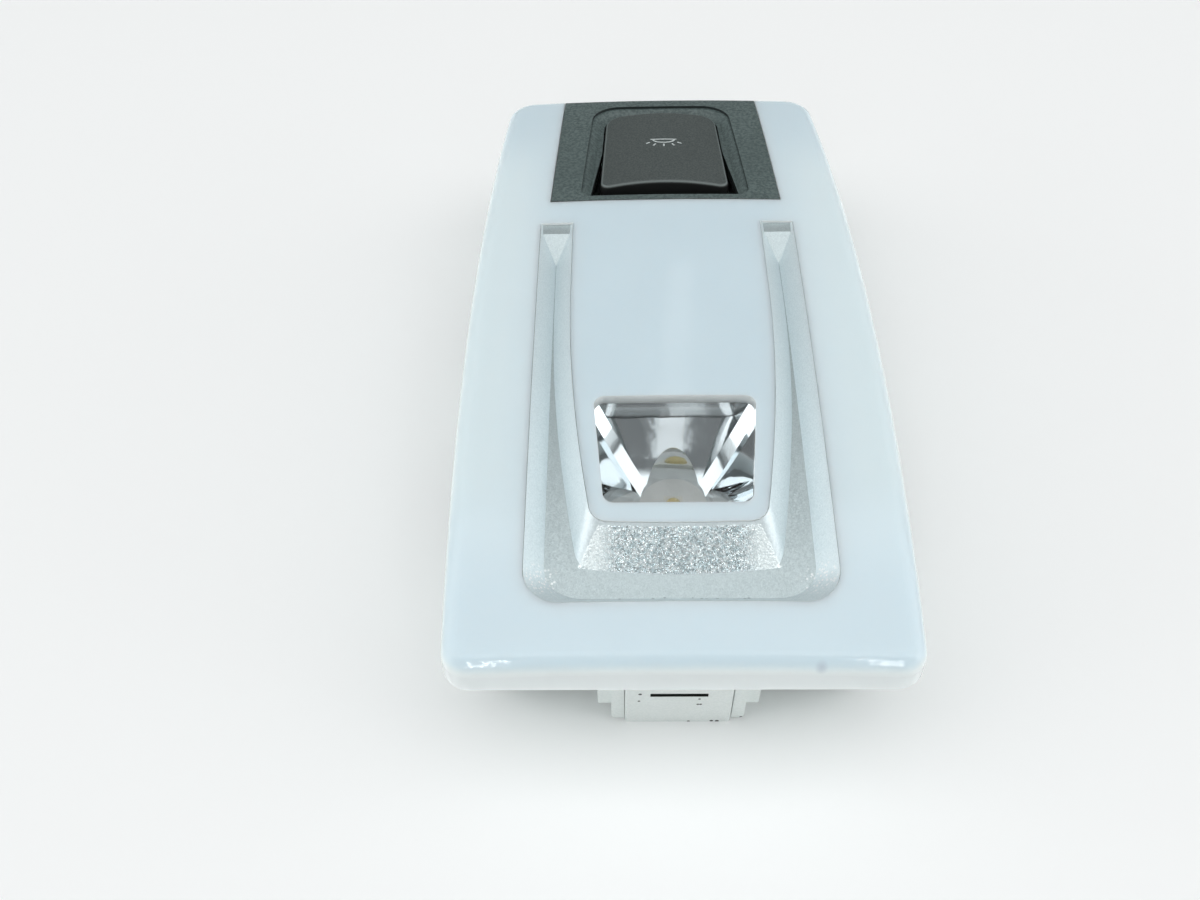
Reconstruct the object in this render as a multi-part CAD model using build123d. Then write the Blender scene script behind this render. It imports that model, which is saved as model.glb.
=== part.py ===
from build123d import *
import math
import os

# Car roof lamp, lying on its back with the lens up.
# The origin is the middle of the lens rim, in the plane that meets the roof lining.
# +Z points into the cabin, +Y to the switch end, +X to the right. Millimetres and degrees.

# Lens shell
LENS_LENGTH = 156.0
LENS_NEAR_WIDTH = 80.4
LENS_MIDDLE_WIDTH = 81.8
LENS_FAR_WIDTH = 73.6
LENS_END_HEIGHT = 7.5
LENS_CROWN_RISE = 6.5
LENS_CROSS_RISE = 1.2
LENS_WALL = 2.2
LENS_DRAFT = 3.0
LENS_EDGE_RADIUS = 3.4
LENS_NEAR_CORNER = 5.0
LENS_FAR_CORNER = 7.0
PANEL_GAP = 0.15

# Channel round the tongue, and the silver trim that lines it
CHANNEL_WIDTH = 53.6
CHANNEL_NEAR_MARGIN = 11.4
CHANNEL_FAR_MARGIN = 7.6
CHANNEL_DEPTH = 4.0
CHANNEL_WALL_RUN = 3.3
CHANNEL_RAMP = 10.0
CHANNEL_SHELF = 2.8
CHANNEL_SHELF_DROP = 0.5
CHANNEL_CORNER = 6.2
TONGUE_WIDTH = 39.8
TONGUE_TIP_WIDTH = 30.4
TONGUE_TAPER = 53.0
TONGUE_TIP_MARGIN = 15.2
TONGUE_BOW = 0.5
TONGUE_CORNER = 3.4
TONGUE_SECTIONS = 7
APRON_RUN = 7.0
TRIM_SHEET = 1.3
TRIM_GAP = 0.06
TRIM_FLANGE = 3.0
TRIM_FLANGE_THICKNESS = 1.4

# Spot window and reflector
WINDOW_TIP_MARGIN = 3.4
WINDOW_LENGTH = 23.1
WINDOW_FAR_WIDTH = 30.3
WINDOW_NEAR_WIDTH = 26.2
WINDOW_CORNER = 2.0
PANE_THICKNESS = 1.2
PANE_LAP = 2.2
REFLECTOR_WALL = 1.4
REFLECTOR_BASE_WIDTH = 12.5
REFLECTOR_BASE_LENGTH = 8.0
REFLECTOR_LAP = 1.2
REFLECTOR_CHAMFER = 1.9
REFLECTOR_CUP_RADIUS = 6.6
REFLECTOR_CUP_TOP_RADIUS = 10.5
REFLECTOR_FLARE = 0.9
REFLECTOR_SECTIONS = (0, 0.25, 0.6, 1)
REFLECTOR_FLANGE = 3.2
REFLECTOR_FLANGE_THICKNESS = 1.2

# Switch bezel
BEZEL_LENGTH = 46.0
BEZEL_NEAR_WIDTH = 50.2
BEZEL_FAR_WIDTH = 46.2
BEZEL_SKIRT = 1.5
BEZEL_LEDGE = 2.0
BEZEL_LEDGE_THICKNESS = 1.4
WELL_NEAR_SIDE_MARGIN = 4.1
WELL_FAR_SIDE_MARGIN = 3.1
WELL_NEAR_MARGIN = 3.4
WELL_FAR_MARGIN = 3.6
WELL_STEP = 0.6
WELL_DEPTH = 2.2
WELL_FLOOR = 2.0
WELL_ROUND = 2.5

# Push button, hinged on two trunnions at its far end
BUTTON_LENGTH = 32.0
BUTTON_NEAR_WIDTH = 28.6
BUTTON_FAR_WIDTH = 26.0
BUTTON_NEAR_MARGIN = 5.2
BUTTON_CROSS_RADIUS = 60.0
BUTTON_PROUD = 0.5
BUTTON_TILT = 1.6
BUTTON_WALL = 1.6
BUTTON_SKIRT_DEPTH = 8.5
BUTTON_NEAR_CORNER = 2.2
BUTTON_FAR_CORNER = 4.0
BUTTON_EDGE_RADIUS = 0.9
BUTTON_OPEN_GAP = 2.3
BUTTON_CLOSE_GAP = 0.35
BUTTON_FOOT_GAP = 0.9
BUTTON_OPEN_LENGTH = 20.5
TRUNNION_RADIUS = 1.5
TRUNNION_CLEARANCE = 0.06
TRUNNION_LENGTH = 2.6
TRUNNION_FAR_MARGIN = 4.0
TRUNNION_DROP = 6.0
EAR_WALL = 1.7
POST_RADIUS = 2.2
POST_TIP_RADIUS = 0.8
POST_GAP = 0.12

# Rear housing
TRAY_SIDE_INSET = 5.0
TRAY_NEAR_INSET = 9.0
TRAY_FAR_INSET = 8.0
TRAY_DEPTH = 18.0
TRAY_WALL = 1.8
TRAY_FLOOR = 2.0
TRAY_NEAR_CORNER = 4.0
TRAY_FAR_CORNER = 7.0
TRAY_EDGE_RADIUS = 1.6
FLANGE_LIFT = 0.4
FLANGE_THICKNESS = 2.0
FLANGE_GAP = 0.25
REST_DEPTH = 21.6
FOOT_WIDTH = 3.0
FOOT_LENGTH = 16.0
FOOT_SPREAD = 40.0
FOOT_MARGIN = 6.0
RIB_HEIGHT = 1.2
RIB_WIDTH = 1.6
RIB_SPREAD = 24.0

# Lens snaps: loops on the lens over wedges on the housing
SNAP_WIDTH = 8.0
SNAP_THICKNESS = 1.3
SNAP_DROP = 5.5
SNAP_ROOT_HEIGHT = 3.6
SNAP_WINDOW_WIDTH = 4.6
SNAP_WINDOW_HEIGHT = 2.4
SNAP_WINDOW_LIP = 1.2
SNAP_GAP = 0.25
SNAP_PLACES = (-0.62, 0.06, 0.62)

# Spring clips that hold the lamp in the roof
CLIP_WIDTH = 10.0
CLIP_SHEET = 0.5
CLIP_GAP = 0.12
CLIP_TOP = 3.0
CLIP_BOTTOM = 15.0
CLIP_BEND_RADIUS = 1.4
CLIP_SPAN = 3.0
CLIP_BULGE = 1.2
CLIP_SHOULDER = 7.5
CLIP_LOOP_WALL = 1.3
CLIP_LOOP_HEIGHT = 3.0
CLIP_LOOP_DEPTH = 11.0
CLIP_PLACES = (-0.30, 0.34)

# Circuit board and what it carries
BOARD_THICKNESS = 1.6
BOARD_TOP_DEPTH = 6.4
BOARD_GAP = 0.6
BOARD_HEADROOM = 3.0
BOARD_HOLE_CLEARANCE = 0.3
SCREW_RADIUS = 1.1
SCREW_CLEARANCE = 0.1
SCREW_LENGTH = 7.0
SCREW_HEAD_RADIUS = 2.4
SCREW_HEAD_HEIGHT = 1.7
SCREW_RECESS_LENGTH = 2.8
SCREW_RECESS_WIDTH = 0.7
SCREW_RECESS_DEPTH = 0.9
SCREW_SIDE_MARGIN = 5.5
SCREW_PLACES = (-0.55, 0.5)
BOSS_RADIUS = 3.0
LED_WIDTH = 3.5
LED_LENGTH = 2.8
LED_HEIGHT = 0.9
LED_WELL_RADIUS = 1.1
LED_WELL_DEPTH = 0.3
LED_SIDE_MARGIN = 4.5
LED_PLACES = (-0.78, -0.32, 0.10, 0.76)
SPOT_LED_SIZE = 3.6
SPOT_LED_HEIGHT = 0.8
SPOT_DOME_RADIUS = 1.4
SPOT_DOME_HEIGHT = 1.0
CHIP_WIDTH = 5.0
CHIP_LENGTH = 4.0
CHIP_HEIGHT = 1.5
CHIP_X = 13.0
CHIP_Y = 2.0
RESISTOR_WIDTH = 1.6
RESISTOR_LENGTH = 3.2
RESISTOR_HEIGHT = 0.6
RESISTOR_PITCH = 3.0
RESISTOR_COUNT = 5
RESISTOR_X = 4.0
CAPACITOR_RADIUS = 3.2
CAPACITOR_HEIGHT = 5.4
CAPACITOR_GROOVE = 0.3
CAPACITOR_BASE = 0.8
CAPACITOR_PITCH = 9.0
CAPACITOR_COUNT = 2
CAPACITOR_X = -13.0

# Push switch under the button
SWITCH_SIZE = 8.4
SWITCH_HEIGHT = 7.0
SWITCH_COVER = 0.4
SWITCH_COVER_SKIRT = 2.2
PLUNGER_RADIUS = 1.6
PLUNGER_CLEARANCE = 0.06
PLUNGER_RISE = 3.0
PLUNGER_SINK = 3.5
PLUNGER_TRAVEL = 1.6
PLUNGER_LEVER = 20.0

# Connector
HEADER_WIDTH = 19.2
HEADER_LENGTH = 10.8
HEADER_WALL = 1.5
HEADER_FLOOR = 2.0
HEADER_FRONT_INSET = 4.3
HEADER_GAP = 0.15
LATCH_WIDTH = 10.2
LATCH_HEIGHT = 1.2
LATCH_DROP = 0.3
KEY_WIDTH = 1.6
KEY_DEPTH = 0.8
KEY_SPREAD = 9.0
PIN_SIZE = 0.64
PIN_CLEARANCE = 0.05
PIN_PITCH = 3.0
PIN_COLUMNS = 5
PIN_ROW_PITCH = 2.6
PIN_REACH = 5.0
PIN_STUB = 1.0
COLLAR_WALL = 2.3
COLLAR_SETBACK = 0.4
COLLAR_LIFT = 0.9
COLLAR_CORNER = 0.9
STEP_WIDTH = 2.4
STEP_SETBACK = 0.9
STEP_DEPTH = 16.5

# The crown that follows from those sizes
near_end = -LENS_LENGTH / 2
far_end = LENS_LENGTH / 2
crown_top = LENS_END_HEIGHT + LENS_CROWN_RISE
crown_radius = (far_end**2 + LENS_CROWN_RISE**2) / (2 * LENS_CROWN_RISE)
cross_radius = ((LENS_MIDDLE_WIDTH / 2)**2 + LENS_CROSS_RISE**2) / (2 * LENS_CROSS_RISE)
crown_axis = Axis((0, 0, crown_top - crown_radius), (1, 0, 0))
CUT = 1.0
TALL = 60.0
crown_sweep = 2 * math.degrees(math.atan((far_end + CUT) / (crown_radius - crown_top)))
STANDING = (Align.CENTER, Align.CENTER, Align.MIN)
HANGING = (Align.CENTER, Align.CENTER, Align.MAX)


def crown_z(y):
    """Height of the crown above the rim on the centre line."""
    return crown_top - crown_radius + math.sqrt(crown_radius**2 - y**2)


def cross_drop(x):
    """How far the crown falls from its centre line to x."""
    return cross_radius - math.sqrt(cross_radius**2 - x**2)


def half_width(y):
    """Half of the rim's width at y, a gentle bow through its near, middle and far widths."""
    t = y / far_end
    lean = (LENS_FAR_WIDTH - LENS_NEAR_WIDTH) / 4
    bow = (LENS_FAR_WIDTH + LENS_NEAR_WIDTH) / 4 - LENS_MIDDLE_WIDTH / 2
    return LENS_MIDDLE_WIDTH / 2 + lean * t + bow * t**2


# Places that the pieces share
bezel_near_y = far_end - BEZEL_LENGTH
channel_near_y = near_end + CHANNEL_NEAR_MARGIN
channel_far_y = bezel_near_y - CHANNEL_FAR_MARGIN
channel_half = CHANNEL_WIDTH / 2
channel_slope = CHANNEL_WALL_RUN / CHANNEL_DEPTH
tip_y = channel_near_y + TONGUE_TIP_MARGIN
taper_y = tip_y + TONGUE_TAPER
window_near_y = tip_y + WINDOW_TIP_MARGIN
window_far_y = window_near_y + WINDOW_LENGTH
window_y = (window_near_y + window_far_y) / 2
board_top = -BOARD_TOP_DEPTH
board_bottom = board_top - BOARD_THICKNESS
tray_near_y = near_end + TRAY_NEAR_INSET
tray_far_y = far_end - TRAY_FAR_INSET
flange_top = FLANGE_LIFT + FLANGE_THICKNESS
header_front_y = near_end + HEADER_FRONT_INSET
header_back_y = header_front_y + HEADER_LENGTH
header_y = (header_front_y + header_back_y) / 2
collar_front_y = header_front_y + COLLAR_SETBACK
collar_half = HEADER_WIDTH / 2 + HEADER_GAP + COLLAR_WALL
pane_bottom_drop = LENS_WALL + PANEL_GAP + PANE_THICKNESS
button_y = bezel_near_y + BUTTON_NEAR_MARGIN + BUTTON_LENGTH / 2
bezel_tilt = math.asin(button_y / crown_radius)
bezel_plane = Plane(
    (0, button_y, crown_z(button_y)), x_dir=(1, 0, 0), z_dir=(0, math.sin(bezel_tilt), math.cos(bezel_tilt)))
button_plane = bezel_plane.rotated((-BUTTON_TILT, 0, 0))
hinge_v = BUTTON_LENGTH / 2 - TRUNNION_FAR_MARGIN
hinge = button_plane.from_local_coords(Vector(0, hinge_v, -TRUNNION_DROP))
plunger_y = hinge.Y - PLUNGER_LEVER
switch_top = board_top + SWITCH_HEIGHT
plunger_top = switch_top + SWITCH_COVER + PLUNGER_RISE


def block(x0, x1, y0, y1, z0, z1):
    """Box between two corners."""
    size = (x1 - x0, y1 - y0, z1 - z0)
    return Pos((x0 + x1) / 2, (y0 + y1) / 2, (z0 + z1) / 2) * Box(*size)


def prism(face, z0, z1):
    """Plan face pulled up from z0 to z1."""
    return extrude(Pos(0, 0, z0) * face, amount=z1 - z0)


def bowed_face(near_y, far_y, inset, near_corner, far_corner):
    """Plan face whose bowed sides follow the rim, set in by inset."""
    ys = (near_y, (near_y + far_y) / 2, far_y)
    right = [(half_width(y) - inset, y) for y in ys]
    left = [(-x, y) for x, y in right]
    face = make_face([
        Line(left[0], right[0]),
        ThreePointArc(*right),
        Line(right[2], left[2]),
        ThreePointArc(*left),
    ])
    face = fillet(face.vertices().group_by(Axis.Y)[0], near_corner)
    return fillet(face.vertices().group_by(Axis.Y)[-1], far_corner)


def lens_face(inset):
    """Rim of the lens, set in by inset."""
    corners = (LENS_NEAR_CORNER - inset, LENS_FAR_CORNER - inset)
    return bowed_face(near_end + inset, far_end - inset, inset, *corners)


def tray_face(inset):
    """Outline of the rear housing, set in by inset."""
    near_y = tray_near_y + inset
    far_y = tray_far_y - inset
    corners = (TRAY_NEAR_CORNER - inset, TRAY_FAR_CORNER - inset)
    return bowed_face(near_y, far_y, TRAY_SIDE_INSET + inset, *corners)


def tapered_face(near_y, far_y, near_half, far_half):
    """Plan trapezoid."""
    return make_face(Polyline(
        (-near_half, near_y), (near_half, near_y), (far_half, far_y), (-far_half, far_y), close=True))


def below_crown(drop):
    """Everything under the crown surface, lowered by drop."""
    top = crown_top - drop
    half = LENS_MIDDLE_WIDTH
    edge_z = top - cross_drop(half)
    low = -TALL
    section = make_face([
        ThreePointArc((-half, edge_z), (0, top), (half, edge_z)),
        Polyline((half, edge_z), (half, low), (-half, low), (-half, edge_z)),
    ])
    start = (Plane.XZ * section).rotate(crown_axis, -crown_sweep / 2)
    return revolve(start, axis=crown_axis, revolution_arc=crown_sweep)


def lens_form(inset):
    """Solid form of the lens, set in by inset all round, with its rounded top edge."""
    body = extrude(lens_face(inset), amount=crown_top + CUT, taper=LENS_DRAFT) & below_crown(inset)
    crown_edges = body.faces().sort_by(Axis.Z)[-1].edges()
    return fillet(crown_edges, LENS_EDGE_RADIUS - inset)


def bezel_face(grow, far_y=far_end + TALL):
    """Plan of the bezel, open past the far end unless it stops at far_y."""
    lean = (BEZEL_FAR_WIDTH - BEZEL_NEAR_WIDTH) / 2 / BEZEL_LENGTH
    near_y = bezel_near_y - grow
    near_half = BEZEL_NEAR_WIDTH / 2 + grow
    return tapered_face(near_y, far_y, near_half, near_half + lean * (far_y - near_y))


def tongue_half(y):
    """Half of the tongue's width at y, straight and then narrowing on an arc to the tip."""
    half = TONGUE_WIDTH / 2
    loss = half - TONGUE_TIP_WIDTH / 2
    return half - loss * (max(taper_y - y, 0) / TONGUE_TAPER)**2


def ball_radius(plan_radius, side_slope, end_slope):
    """Radius of the round between two sloping walls that shows plan_radius where they meet the crown."""
    edge = math.sqrt(1 + side_slope**2 + end_slope**2)
    across = math.hypot(1, side_slope) * math.hypot(1, end_slope)
    half_turn = math.acos(side_slope * end_slope / across) / 2
    return plan_radius * math.sqrt(across) / edge / math.tan(half_turn)


def tongue_form(grow):
    """Solid tongue with sloping sides and a bowed, sloping apron, inside the channel."""
    over = CHANNEL_DEPTH
    under = 2 * CHANNEL_DEPTH
    spread = grow * math.hypot(1, channel_slope)
    last_y = tip_y - APRON_RUN - CHANNEL_DEPTH
    first_y = channel_far_y + CHANNEL_RAMP
    sections = []
    for i in range(TONGUE_SECTIONS):
        y = first_y + (last_y - first_y) * i / (TONGUE_SECTIONS - 1)
        half = tongue_half(y) + spread
        z = crown_z(y) - cross_drop(tongue_half(y))
        top = half - channel_slope * over
        bottom = half + channel_slope * under
        outline = Polyline(
            (-top, z + over), (top, z + over), (bottom, z - under), (-bottom, z - under), close=True)
        sections.append(Plane((0, y, 0), x_dir=(1, 0, 0), z_dir=(0, -1, 0)) * make_face(outline))
    sides = loft(sections)

    foot_y = tip_y - APRON_RUN
    run = Vector(0, foot_y - tip_y, crown_z(foot_y) - CHANNEL_DEPTH - crown_z(tip_y)).normalized()
    inward = Vector(0, -run.Z, run.Y)
    bow_radius = ((TONGUE_TIP_WIDTH / 2)**2 + TONGUE_BOW**2) / (2 * TONGUE_BOW)
    centre = Vector(0, tip_y, crown_z(tip_y)) + inward * (bow_radius - grow)
    roll = Plane(centre, x_dir=(1, 0, 0), z_dir=run) * Cylinder(bow_radius, 4 * LENS_LENGTH)
    body = sides & roll
    corner_edges = body.edges().filter_by(on_apron_corner)
    apron_slope = run.Y / run.Z
    return fillet(corner_edges, ball_radius(TONGUE_CORNER, channel_slope, apron_slope) + grow)


def on_apron_corner(edge):
    """Whether an edge of the tongue runs down beside the apron."""
    middle = edge @ 0.5
    ends = (edge @ 0, edge @ 1)
    slants = abs(ends[0].Z - ends[1].Z) > CHANNEL_DEPTH
    return slants and middle.Y < tip_y + CHANNEL_DEPTH and abs(middle.X) > TONGUE_TIP_WIDTH / 4


def basin_form(grow):
    """Solid of the channel's outer walls, floor and end slopes, with no tongue in it."""
    over = CHANNEL_DEPTH
    under = CHANNEL_DEPTH + grow
    spread = grow * math.hypot(1, channel_slope)
    edge_z = crown_top - cross_drop(channel_half)
    top = channel_half + spread + channel_slope * over
    bottom = channel_half + spread - channel_slope * under
    high_z = edge_z + over
    low_z = edge_z - under
    corners = ((-top, high_z), (top, high_z), (bottom, low_z), (-bottom, low_z))
    section = make_face(Polyline(*corners, close=True))
    start = (Plane.XZ * section).rotate(crown_axis, -crown_sweep / 2)
    trough = revolve(start, axis=crown_axis, revolution_arc=crown_sweep)

    near_z = crown_z(channel_near_y) - cross_drop(channel_half)
    far_z = crown_z(channel_far_y) - cross_drop(channel_half)
    shelf_y = channel_far_y - CHANNEL_SHELF
    shelf_z = far_z - CHANNEL_SHELF_DROP
    far_slope = (CHANNEL_RAMP - CHANNEL_SHELF) / (CHANNEL_DEPTH - CHANNEL_SHELF_DROP)
    far_spread = grow * math.hypot(1, far_slope)
    high = crown_top + over
    deep = min(near_z, far_z) - 2 * under
    side = Polyline(
        (channel_near_y - spread - channel_slope * (high - near_z), high),
        (channel_near_y - spread - channel_slope * (deep - near_z), deep),
        (shelf_y + far_spread + far_slope * (deep - shelf_z), deep),
        (shelf_y + far_spread - far_slope * grow, shelf_z - grow),
        (channel_far_y + grow, shelf_z - grow),
        (channel_far_y + grow, high),
        close=True,
    )
    limits = extrude(Plane.YZ * make_face(side), amount=CHANNEL_WIDTH, both=True)
    body = trough & limits
    near_wall = body.faces().filter_by(GeomType.PLANE).sort_by(Axis.Y)[0]
    corner_edges = [e for e in near_wall.edges() if abs((e @ 0).Z - (e @ 1).Z) > CHANNEL_DEPTH]
    return fillet(corner_edges, ball_radius(CHANNEL_CORNER, channel_slope, channel_slope) + grow)


def slot_face(grow):
    """U-shaped slot in the lens for the trim, as seen in plan."""
    half = channel_half + grow
    outer = tapered_face(channel_near_y - grow, channel_far_y + grow, half, half)
    outer = fillet(outer.vertices().group_by(Axis.Y)[0], CHANNEL_CORNER + grow)
    return outer - tongue_face(-grow)


def tongue_face(grow):
    """Tongue as seen in plan at the crown surface."""
    far_y = channel_far_y + CHANNEL_RAMP
    middle_y = (taper_y + tip_y) / 2
    right = [(tongue_half(y) + grow, y) for y in (far_y, taper_y, middle_y, tip_y)]
    left = [(-x, y) for x, y in right]
    bow_y = tip_y - grow - TONGUE_BOW
    tip_right = (right[3][0], tip_y - grow)
    tip_left = (left[3][0], tip_y - grow)
    face = make_face([
        Line(left[0], right[0]),
        Line(right[0], right[1]),
        ThreePointArc(right[1], right[2], tip_right),
        ThreePointArc(tip_right, (0, bow_y), tip_left),
        ThreePointArc(tip_left, left[2], left[1]),
        Line(left[1], left[0]),
    ])
    tip_corners = [v for v in face.vertices() if abs(v.Y - tip_right[1]) < CUT]
    return fillet(tip_corners, TONGUE_CORNER + grow)


def window_face(grow):
    """Opening for the spot window, as seen in plan."""
    face = tapered_face(
        window_near_y - grow, window_far_y + grow, WINDOW_NEAR_WIDTH / 2 + grow, WINDOW_FAR_WIDTH / 2 + grow)
    return fillet(face.vertices(), WINDOW_CORNER + grow)


def at_side(fraction, inset, shape):
    """Copy of a shape on both long sides, set against the bowed wall at a fraction of the half length."""
    y = far_end * fraction
    lean = math.degrees(math.atan((half_width(y + CUT) - half_width(y - CUT)) / (2 * CUT)))
    right = Location((half_width(y) - inset, y, 0), (0, 0, -lean)) * shape
    return [right, mirror(right, about=Plane.YZ)]


def snap_loop():
    """Loop on the lens: a root on the wall, a tongue down past the flange and a window in it."""
    x0 = SNAP_GAP
    x1 = SNAP_GAP + SNAP_THICKNESS
    half = SNAP_WIDTH / 2
    root_z = flange_top + SNAP_GAP
    root = block(x0, TRAY_SIDE_INSET - LENS_WALL / 2, -half, half, root_z, root_z + SNAP_ROOT_HEIGHT)
    leaf = block(x0, x1, -half, half, -SNAP_DROP, root_z + SNAP_ROOT_HEIGHT)
    sill = SNAP_WINDOW_LIP - SNAP_DROP
    opening = block(
        -CUT, x1 + CUT, -SNAP_WINDOW_WIDTH / 2, SNAP_WINDOW_WIDTH / 2, sill, sill + SNAP_WINDOW_HEIGHT)
    return root + leaf - opening


def snap_wedge():
    """Wedge on the housing wall that catches the loop of the lens."""
    low = SNAP_WINDOW_LIP - SNAP_DROP + SNAP_GAP
    high = low + SNAP_WINDOW_HEIGHT - 2 * SNAP_GAP
    reach = SNAP_GAP + SNAP_THICKNESS
    root = -TRAY_WALL / 2
    side = make_face(Polyline((root, low), (SNAP_GAP, low), (reach, high), (root, high), close=True))
    return extrude(Plane.XZ * side, amount=SNAP_WINDOW_WIDTH / 2 - SNAP_GAP, both=True)


def snap_notch():
    """Gap in the housing flange that a loop of the lens passes through."""
    half = SNAP_WIDTH / 2 + SNAP_GAP
    return block(0, TRAY_SIDE_INSET, -half, half, 0, flange_top + CUT)


def lens_cover():
    """Milky lens: crowned shell with the trim slot, the window and the bezel notch."""
    shell = lens_form(0) - lens_form(LENS_WALL)
    shell -= prism(slot_face(0), 0, TALL)
    shell -= prism(window_face(0), 0, TALL)
    shell -= prism(bezel_face(0), -CUT, TALL)
    for place in SNAP_PLACES:
        for loop in at_side(place, TRAY_SIDE_INSET, snap_loop()):
            shell += loop
    return shell


def channel_trim():
    """Silver channel: sloping walls, floor and apron, with a flange under the lens."""
    sheet = basin_form(TRIM_SHEET) - tongue_form(-TRIM_SHEET)
    sheet -= basin_form(0) - tongue_form(0)
    lens_under = LENS_WALL + PANEL_GAP
    lens_room = prism(lens_face(0) - slot_face(-TRIM_GAP), 0, TALL) - below_crown(lens_under)
    sheet -= lens_room
    flange = below_crown(lens_under) - below_crown(lens_under + TRIM_FLANGE_THICKNESS)
    half = channel_half + TRIM_FLANGE
    flange_face = tapered_face(channel_near_y - TRIM_FLANGE, channel_far_y + TRIM_FLANGE, half, half)
    flange_face = fillet(flange_face.vertices(), CHANNEL_CORNER)
    flange = (flange & prism(flange_face, 0, TALL)) - basin_form(0)
    return sheet + flange


def spot_window():
    """Clear pane held under the tongue."""
    pane_top = LENS_WALL + PANEL_GAP
    layer = below_crown(pane_top) - below_crown(pane_top + PANE_THICKNESS)
    return layer & prism(window_face(PANE_LAP), 0, TALL)


def funnel_section(z, grow):
    """Eight-sided section of the reflector: a tapered rectangle with cut corners."""
    top_z = crown_z(window_far_y) - pane_bottom_drop
    share = ((z - board_top) / (top_z - board_top))**REFLECTOR_FLARE
    base_x = REFLECTOR_BASE_WIDTH / 2
    base_y = REFLECTOR_BASE_LENGTH / 2
    near_x = base_x + (WINDOW_NEAR_WIDTH / 2 + REFLECTOR_LAP - base_x) * share + grow
    far_x = base_x + (WINDOW_FAR_WIDTH / 2 + REFLECTOR_LAP - base_x) * share + grow
    reach = base_y + (WINDOW_LENGTH / 2 + REFLECTOR_LAP - base_y) * share + grow
    cut = REFLECTOR_CHAMFER
    right = [(near_x - cut, -reach), (near_x, cut - reach), (far_x, reach - cut), (far_x - cut, reach)]
    left = [(-x, y) for x, y in reversed(right)]
    return Pos(0, window_y, z) * make_face(Polyline(*right, *left, close=True))


def reflector_form(grow):
    """Four-sided funnel with a round cup in its foot, about the spot LED."""
    top_z = crown_z(window_far_y) - pane_bottom_drop
    heights = [board_top + (top_z - board_top) * share for share in REFLECTOR_SECTIONS]
    funnel = loft([funnel_section(z, grow) for z in heights])
    cup = Cone(
        REFLECTOR_CUP_RADIUS + grow, REFLECTOR_CUP_TOP_RADIUS + grow, top_z - board_top, align=STANDING)
    return funnel + Pos(0, window_y, board_top) * cup


def spot_reflector():
    """Chromed reflector between the board and the pane."""
    body = reflector_form(REFLECTOR_WALL) & below_crown(pane_bottom_drop + PANEL_GAP)
    body &= prism(window_face(TALL / 2), board_top, TALL)
    flange_top_drop = pane_bottom_drop + PANEL_GAP
    flange = below_crown(flange_top_drop) - below_crown(flange_top_drop + REFLECTOR_FLANGE_THICKNESS)
    body += flange & prism(window_face(REFLECTOR_FLANGE), 0, TALL)
    return body - reflector_form(0)


def button_face(grow):
    """Outline of the button in its own plane, grown all round."""
    lean = (BUTTON_FAR_WIDTH - BUTTON_NEAR_WIDTH) / 2 / BUTTON_LENGTH
    middle_half = (BUTTON_NEAR_WIDTH + BUTTON_FAR_WIDTH) / 4 + grow
    near_v = -BUTTON_LENGTH / 2 - grow
    far_v = BUTTON_LENGTH / 2 + grow
    face = tapered_face(near_v, far_v, middle_half + lean * near_v, middle_half + lean * far_v)
    face = fillet(face.vertices().group_by(Axis.Y)[0], BUTTON_NEAR_CORNER + grow)
    return fillet(face.vertices().group_by(Axis.Y)[-1], BUTTON_FAR_CORNER + grow)


def button_half(v):
    """Half of the button's width at v along its length."""
    lean = (BUTTON_FAR_WIDTH - BUTTON_NEAR_WIDTH) / 2 / BUTTON_LENGTH
    return (BUTTON_NEAR_WIDTH + BUTTON_FAR_WIDTH) / 4 + lean * v


def button_dome(drop):
    """Everything under the button's crowned top, lowered by drop."""
    radius = BUTTON_CROSS_RADIUS - drop
    centre = (0, 0, BUTTON_PROUD - BUTTON_CROSS_RADIUS)
    return button_plane * Pos(*centre) * Rot(90, 0, 0) * Cylinder(radius, 2 * BUTTON_LENGTH)


def trunnion(radius, inner, outer):
    """Pair of cylinders on the button's hinge axis."""
    pin = Rot(0, 90, 0) * Cylinder(radius, outer - inner)
    right = Pos((inner + outer) / 2, hinge.Y, hinge.Z) * pin
    return right + mirror(right, about=Plane.YZ)


def switch_button():
    """Push button: crowned cap with skirts, two trunnions and a post over the plunger."""
    outer = extrude(button_plane * Pos(0, 0, -BUTTON_SKIRT_DEPTH) * button_face(0), amount=TALL / 2)
    outer &= button_dome(0)
    top_edges = outer.faces().sort_by(Axis.Z)[-1].edges()
    outer = fillet(top_edges, BUTTON_EDGE_RADIUS)
    inner_face = button_face(-BUTTON_WALL)
    inner = extrude(button_plane * Pos(0, 0, -BUTTON_SKIRT_DEPTH - CUT) * inner_face, amount=TALL / 2)
    cap = outer - (inner & button_dome(BUTTON_WALL))
    tip_z = plunger_top + POST_GAP
    post = Pos(0, plunger_y, tip_z) * Cylinder(POST_RADIUS, TALL / 2, align=STANDING)
    post = fillet(post.edges().group_by(Axis.Z)[0], POST_TIP_RADIUS)
    post &= button_dome(BUTTON_WALL / 2)
    side = button_half(hinge_v)
    pins = trunnion(TRUNNION_RADIUS, side - BUTTON_WALL / 2, side + BUTTON_CLOSE_GAP + TRUNNION_LENGTH)
    return cap + post + pins


def well_rim():
    """Rim of the well round the button, in the bezel's plane."""
    near_v = -BUTTON_LENGTH / 2 - WELL_NEAR_MARGIN
    far_v = BUTTON_LENGTH / 2 + WELL_FAR_MARGIN
    near_half = button_half(near_v) + WELL_NEAR_SIDE_MARGIN
    far_half = button_half(far_v) + WELL_FAR_SIDE_MARGIN
    face = tapered_face(near_v, far_v, near_half, far_half)
    face = fillet(face.vertices().group_by(Axis.Y)[0], BUTTON_NEAR_CORNER)
    return fillet(face.vertices().group_by(Axis.Y)[-1], BUTTON_FAR_CORNER + WELL_ROUND)


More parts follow.
